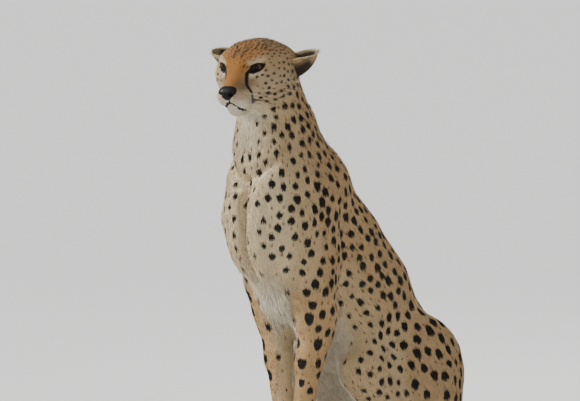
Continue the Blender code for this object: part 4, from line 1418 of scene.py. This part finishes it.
@dataclass(frozen=True)
class SkinFinish:
    """The hide under the coat, with the same ground colour darkened by painted shade of the coat's bottom,
    the same marks and a fine bump.
    """

    name: str = "marked_hide"
    # painted shade: the hide lies at the bottom of the coat, so its ground colour is darkened against the
    # hair's
    shade: float = 0.8      # the hide's ground colour against the hair's

    def build(self) -> bpy.types.Material:
        """Makes the material."""
        paint = Paint(self.name, Roughness=0.82, Specular_IOR_Level=0.22)
        fine = paint.noise(900.0, 3.0)
        ragged = paint.shifted(paint.attribute("edge", "Fac"), fine, 0.0016)
        mix = paint.mix(paint.stretch(ragged, (0.0004, 0.0014), (1.0, 0.0)))
        paint.link(paint.attribute("ground"), mix.inputs["A"])
        paint.link(paint.attribute("mark"), mix.inputs["B"])
        paint.bump(fine, strength=0.5, distance=0.0006)
        return paint.material

    def dress(self, plan: Plan) -> None:
        """Stores the colours on the skin and gives it the material."""
        mesh = plan.skin.piece.data
        edge, mark = plan.marks(plan.places)
        ones = np.ones((len(edge), 1))
        # the ground colour, darkened by the painted shade of the coat's bottom
        set_attribute(mesh, "ground", np.concatenate((plan.fields.ground * self.shade, ones), axis=1))
        set_attribute(mesh, "mark", np.concatenate((mark, ones), axis=1))
        set_attribute(mesh, "edge", edge)
        mesh.materials.clear()
        mesh.materials.append(self.build())


@dataclass(frozen=True)
class PlainFinish:
    """A finish of one colour, a little uneven, with a fine bump."""

    name: str
    colour: tuple[float, float, float]
    roughness: float
    grain: float = 400.0
    depth: float = 0.0003
    coat: float = 0.0
    specular: float = 0.5

    def build(self) -> bpy.types.Material:
        """Makes the material."""
        paint = Paint(
            self.name, Roughness=self.roughness, Coat_Weight=self.coat, Specular_IOR_Level=self.specular
        )
        noise = paint.noise(self.grain, 3.0)
        mix = paint.mix(noise)
        for name, level in (("A", 0.80), ("B", 1.18)):
            mix.inputs[name].default_value = (*(min(1.0, level * c) for c in self.colour), 1.0)
        paint.bump(noise, strength=0.6, distance=self.depth)
        return paint.material


@dataclass(frozen=True)
class IrisFinish:
    """A wet eye: round pupil, amber iris with fine rays, dark ring and dim white.

    The mesh stores the angle from the eye's middle as "polar", which is `share` at
    the iris's edge, and the stops of the colours run over the iris from 0 to 1.
    """

    name: str = "amber_eye"
    share: float = 0.78
    rays: float = 0.16
    stops: tuple[tuple[float, tuple[float, float, float]], ...] = (
        (0.00, (0.002, 0.002, 0.002)), (0.570, (0.001, 0.001, 0.001)), (0.615, (0.045, 0.018, 0.004)),
        (0.74, (0.150, 0.066, 0.013)), (0.87, (0.100, 0.040, 0.009)), (0.98, (0.050, 0.020, 0.006)),
        (1.00, (0.006, 0.005, 0.004)),
    )
    white: tuple[float, tuple[float, float, float]] = (0.93, (0.020, 0.012, 0.008))

    def build(self) -> bpy.types.Material:
        """Makes the material."""
        paint = Paint(
            self.name, Roughness=0.60, Coat_Weight=0.40, Coat_Roughness=0.01, Specular_IOR_Level=0.0
        )
        noise = paint.noise(9.0, 3.0, paint.attribute("ray", "Vector"))
        colours = paint.node("ValToRGB")
        paint.link(paint.shifted(paint.attribute("polar", "Fac"), noise, self.rays), colours.inputs["Fac"])
        elements = colours.color_ramp.elements
        for index, (at, colour) in enumerate(self.stops):
            stop = elements[index] if index < 2 else elements.new(at * self.share)
            stop.position = at * self.share
            stop.color = (*colour, 1.0)
        elements.new(self.white[0]).color = (*self.white[1], 1.0)
        paint.link(colours.outputs["Color"], paint.shader.inputs["Base Color"])
        return paint.material


@dataclass
class Eyes:
    """The two eyeballs, each with a slight dome over its iris."""

    head: HeadFrame
    radius: float = 0.0179
    iris: float = math.radians(38)
    out: float = math.radians(19)
    down: float = math.radians(3)
    dome: float = 0.0009

    def build(self) -> list[bpy.types.Object]:
        """Models both eyes and returns them, left one first."""
        paint = IrisFinish().build()
        return [self.eye("eye_left_ball", 1, paint), self.eye("eye_right_ball", -1, paint)]

    def eye(self, name: str, side: int, paint: bpy.types.Material) -> bpy.types.Object:
        """Models one eye.

        Args:
            name: The object's name.
            side: 1 for the left eye and -1 for the right one.
            paint: The eye's material.

        Returns:
            The eye, in place.
        """
        made = unit_ball(name, segments=64, rings=48)
        ball = points_of(made.data)
        polar = np.arccos(np.clip(ball[:, 2], -1, 1))
        reach = self.radius + self.dome * np.maximum(0, 1 - (polar / self.iris) ** 2)
        level = math.cos(self.down)
        gaze = np.array((
            side * math.sin(self.out) * level, -math.cos(self.out) * level, -math.sin(self.down),
        ))
        right = unit(np.cross(gaze, np.array((0.0, 0.0, 1.0))))
        frame = np.stack((right, np.cross(right, gaze), gaze))
        centre = np.array(Lids().centre) * (side, 1, 1)
        points = self.head.to_world(centre + (ball * reach[:, None]) @ frame)
        set_points(made.data, points)
        set_attribute(made.data, "polar", polar / self.iris * IrisFinish.share)
        turn = np.arctan2(ball[:, 1], ball[:, 0])
        rays = np.column_stack((2 * np.cos(turn), 2 * np.sin(turn), 0.25 * polar))
        set_attribute(made.data, "ray", rays)
        made.data.materials.append(paint)
        return made


@dataclass
class NoseLeather:
    """The bare leather of the nose, broad above and narrow below, with its nostrils."""

    head: HeadFrame
    centre = (0.0, -0.1445, -0.0430)
    radii = (0.0206, 0.0138, 0.0152)

    @staticmethod
    def taper(rise: np.ndarray) -> np.ndarray:
        """How wide the leather is at a height from -1 to 1, as a share of its widest."""
        return 0.42 + 0.58 * ramp(rise, -0.85, 0.25)

    @classmethod
    def cover(cls, places: np.ndarray) -> np.ndarray:
        """Distance from the leather's middle, 1 on its surface."""
        scaled = (places - np.array(cls.centre)) / np.array(cls.radii)
        scaled[:, 0] /= cls.taper(scaled[:, 2])
        return np.linalg.norm(scaled, axis=1)

    def build(self) -> bpy.types.Object:
        """Models the leather and returns it in place."""
        made = unit_ball("nose_leather", segments=96, rings=72)
        ball = points_of(made.data)
        flat = np.sign(ball) * np.abs(ball) ** np.array((0.82, 0.70, 0.82))
        place = flat * np.array(self.radii)
        place[:, 0] *= self.taper(ball[:, 2])
        place[:, 1] += 0.0040 * ramp(ball[:, 2], 0.1, 1.0)
        place += np.array(self.centre)
        side = mirrored(place)
        front = ball[:, 1] < 0
        hole = np.hypot((side[:, 0] - 0.0108) / 0.0048, (side[:, 2] + 0.0440) / 0.0036)
        push = 0.0080 * np.exp(-(hole**2))
        slit = np.column_stack((side[:, 0], np.zeros(len(side)), side[:, 2]))
        slit_at = segment_distance(slit, np.array((0.0100, 0, -0.0455)), np.array((0.0190, 0, -0.0500)))
        push += 0.0042 * np.exp(-((slit_at / 0.0016) ** 2))
        push += 0.0014 * np.exp(-((place[:, 0] / 0.0011) ** 2)) * ramp(-place[:, 2], 0.040, 0.048)
        place[:, 1] += np.where(front, push, 0.0)
        rim = np.exp(-((hole - 1.6) ** 2) / 0.12)
        place[:, 1] -= np.where(front, 0.0008 * rim, 0.0)
        set_points(made.data, self.head.to_world(place))
        finish = PlainFinish(
            "nose_hide", (0.008, 0.006, 0.006), 0.50, grain=1300.0, depth=0.0006, coat=0.06, specular=0.14,
        )
        made.data.materials.append(finish.build())
        return made


@dataclass
class Whiskers:
    """The whiskers of the muzzle and brows, swept to the sides."""

    plan: Plan
    thick: float = 0.00022
    steps: int = 6
    seed: int = 5

    def build(self) -> bpy.types.Object:
        """Models all whiskers as one piece and returns it."""
        rng = np.random.default_rng(self.seed)
        head = self.plan.head
        ground = head.to_local(self.plan.places)
        points: list[np.ndarray] = []
        faces: list[tuple[int, ...]] = []
        rows = []
        for index, root in enumerate(WHISKER_ROOTS):
            row, step = divmod(index, 5)
            rows.append((root, (0.90, -0.18 + 0.22 * step, -0.16 - 0.14 * row), 0.024 + 0.0055 * step))
        for step in range(3):
            brow = (0.028 + 0.006 * step, -0.092 + 0.006 * step, 0.017)
            rows.append((brow, (0.50, 0.30, 0.80), 0.012 + 0.003 * step))
        for side in (1, -1):
            for root, way, length in rows:
                at = ground[np.argmin(np.sum((ground - np.array(root) * (side, 1, 1)) ** 2, axis=1))]
                aim = unit(np.array(way) + rng.normal(0, 0.07, 3)) * (side, 1, 1)
                self.whisker(points, faces, at, aim, length * rng.uniform(0.8, 1.15))
        mesh = bpy.data.meshes.new("whiskers")
        mesh.from_pydata(head.to_world(np.array(points)).tolist(), [], faces)
        mesh.shade_smooth()
        mesh.materials.append(PlainFinish("whisker_horn", (0.74, 0.71, 0.64), 0.5, depth=0.0).build())
        return new_object("whiskers", mesh)

    def whisker(
        self, points: list[np.ndarray], faces: list[tuple[int, ...]], root: np.ndarray, aim: np.ndarray,
        length: float,
    ) -> None:
        """Adds one tapered, drooping whisker to the lists of vertices and faces."""
        across = unit(np.cross(aim, np.array((0.0, 0.0, 1.0))))
        up = np.cross(across, aim)
        droop = np.array((0, 0.12, -0.30))
        first = len(points)
        for step in range(self.steps):
            share = step / self.steps
            thick = self.thick * (1 - share) ** 0.7
            centre = root + aim * (length * share) + droop * (length * share**2)
            for turn in range(4):
                angle = turn * math.tau / 4
                points.append(centre + thick * (math.cos(angle) * across + math.sin(angle) * up))
        points.append(root + aim * length + droop * length)
        faces += tube_faces(self.steps, 4, first)
        last = first + 4 * (self.steps - 1)
        faces += [(last + turn, last + (turn + 1) % 4, last + 4) for turn in range(4)]
        faces.append((first + 3, first + 2, first + 1, first))


@dataclass
class Claws:
    """The short, blunt claws, which a running cat doesn't draw in."""

    thick: float = 0.0032
    length: float = 0.0120
    reach: float = 0.0510     # how far the middle claws' roots lie ahead of the paw's middle
    height: float = 0.0140
    steps: int = 8
    sides: int = 8

    def build(self) -> bpy.types.Object:
        """Models the claws of all paws as one piece and returns it."""
        points: list[Vector] = []
        faces: list[tuple[int, ...]] = []
        for side in (1, -1):
            for index, (x, y) in enumerate(PAWS):
                ahead = y - STRIDE * side if index == 0 else y
                for toe in TOES:
                    reach = self.reach - 0.0055 * toe * toe
                    root = Vector(((x + TOE_STEP * toe) * side, ahead - reach, self.height))
                    self.claw(points, faces, root + Vector(BODY_PLACE.tolist()))
        mesh = bpy.data.meshes.new("claws")
        mesh.from_pydata([tuple(point) for point in points], [], faces)
        mesh.shade_smooth()
        finish = PlainFinish("dark_claw", (0.045, 0.034, 0.026), 0.35, grain=700.0, depth=0.0002)
        mesh.materials.append(finish.build())
        return new_object("claws", mesh)

    def claw(self, points: list[Vector], faces: list[tuple[int, ...]], root: Vector) -> None:
        """Adds one curved claw, from its root forward and down, to the lists of vertices and faces."""
        first = len(points)
        for step in range(self.steps):
            share = step / (self.steps - 1)
            centre = root + Vector((0, -self.length * share, 0.0008 - 0.0085 * share**1.9))
            thick = self.thick * (1 - 0.80 * share**1.8)
            for k in range(self.sides):
                angle = k * math.tau / self.sides
                points.append(centre + Vector((0.72 * thick * math.cos(angle), 0, thick * math.sin(angle))))
        faces += tube_faces(self.steps, self.sides, first)
        faces.append(tuple(range(first, first + self.sides))[::-1])
        faces.append(tuple(range(len(points) - self.sides, len(points))))


# ---------------------------------------------------------------- stage
@dataclass
class Stage:
    """The pale floor, the soft lights and the camera."""

    azimuth: float = 47.0
    elevation: float = 4.0
    distance: float = 10.0
    lens: float = 282.4
    target: tuple[float, float, float] = (-0.0741, -0.0940, 0.6445)
    chest: tuple[float, float, float] = (0.0, 0.0, 0.55)
    air: float = 0.52       # strength of the light from all around

    def build(self) -> None:
        """Sets the whole stage."""
        self.floor()
        self.lights()
        self.camera()

    def floor(self) -> None:
        """A pale, flat floor that runs far out on all sides."""
        bpy.ops.object.select_all(action="DESELECT")
        bpy.ops.mesh.primitive_plane_add(size=400.0, location=(0, 0, 0))
        plate = bpy.context.object
        plate.name = "floor"
        paint = Paint("pale_floor", Base_Color=(0.80, 0.79, 0.76, 1), Roughness=0.85)
        plate.data.materials.append(paint.material)

    def lights(self) -> None:
        """A broad soft key from the animal's right, a weak fill and a dim rim."""
        for name, azimuth, elevation, spread, power in (
            ("key", -42.0, 36.0, 16.0, 4.4),
            ("fill", 70.0, 50.0, 30.0, 0.42),
        ):
            lamp = bpy.data.lights.new(name, "SUN")
            lamp.angle = math.radians(spread)
            lamp.energy = power
            self.hang(name, lamp, self.chest, azimuth, elevation, 6.0)
        rim = bpy.data.lights.new("rim", "AREA")
        rim.size = 2.0
        rim.energy = 40.0
        self.hang("rim", rim, self.chest, 200.0, 45.0, 3.5)
        world = bpy.data.worlds.new("studio")
        bpy.context.scene.world = world
        world.use_nodes = True
        around = world.node_tree.nodes["Background"]
        around.inputs["Color"].default_value = (0.92, 0.95, 1.0, 1)
        around.inputs["Strength"].default_value = self.air

    @staticmethod
    def hang(
        name: str, data: bpy.types.ID, target: tuple[float, float, float], azimuth: float,
        elevation: float, distance: float,
    ) -> bpy.types.Object:
        """Hangs a light or the camera, aimed at a target.

        Args:
            name: The object's name.
            data: The light or the camera.
            target: The place that it is aimed at.
            azimuth: Degrees from the animal's front, towards its left.
            elevation: Degrees above the floor.
            distance: How far it hangs from the target.

        Returns:
            The object, in place.
        """
        turn, rise = math.radians(azimuth), math.radians(elevation)
        aim = Vector((
            math.sin(turn) * math.cos(rise), -math.cos(turn) * math.cos(rise), math.sin(rise),
        ))
        holder = new_object(name, data)
        holder.location = Vector(target) + aim * distance
        holder.rotation_euler = aim.to_track_quat("Z", "Y").to_euler()
        return holder

    def camera(self) -> None:
        """The camera, from the front left and a little above."""
        lens = bpy.data.cameras.new("camera")
        lens.lens = self.lens
        lens.clip_end = 500.0
        bpy.context.scene.camera = self.hang(
            "camera", lens, self.target, self.azimuth, self.elevation, self.distance,
        )


def main() -> None:
    """Builds the dressed animal and its stage."""
    logging.basicConfig(level=logging.INFO, format="%(name)s: %(message)s")
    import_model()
    head = HeadFrame()
    skin = Skin(head)
    skin.build()
    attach(skin.piece, "root")
    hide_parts(*FLESH)
    plan = Plan(head, skin)
    SkinFinish().dress(plan)
    coat = Coat(plan)
    coat.build(CoatFinish())
    for piece in coat.pieces:
        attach(piece, "root")
    for piece, node in zip(Eyes(head).build(), ("eye_left", "eye_right")):
        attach(piece, "root")
        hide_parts(node)
        LOG.info("eye: %s", piece.name)
    leather = NoseLeather(head).build()
    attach(leather, "root")
    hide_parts("nose")
    for piece in (Whiskers(plan).build(), Claws().build()):
        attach(piece, "root")
        LOG.info("added: %s", piece.name)
    Stage().build()


if __name__ == "__main__":
    main()
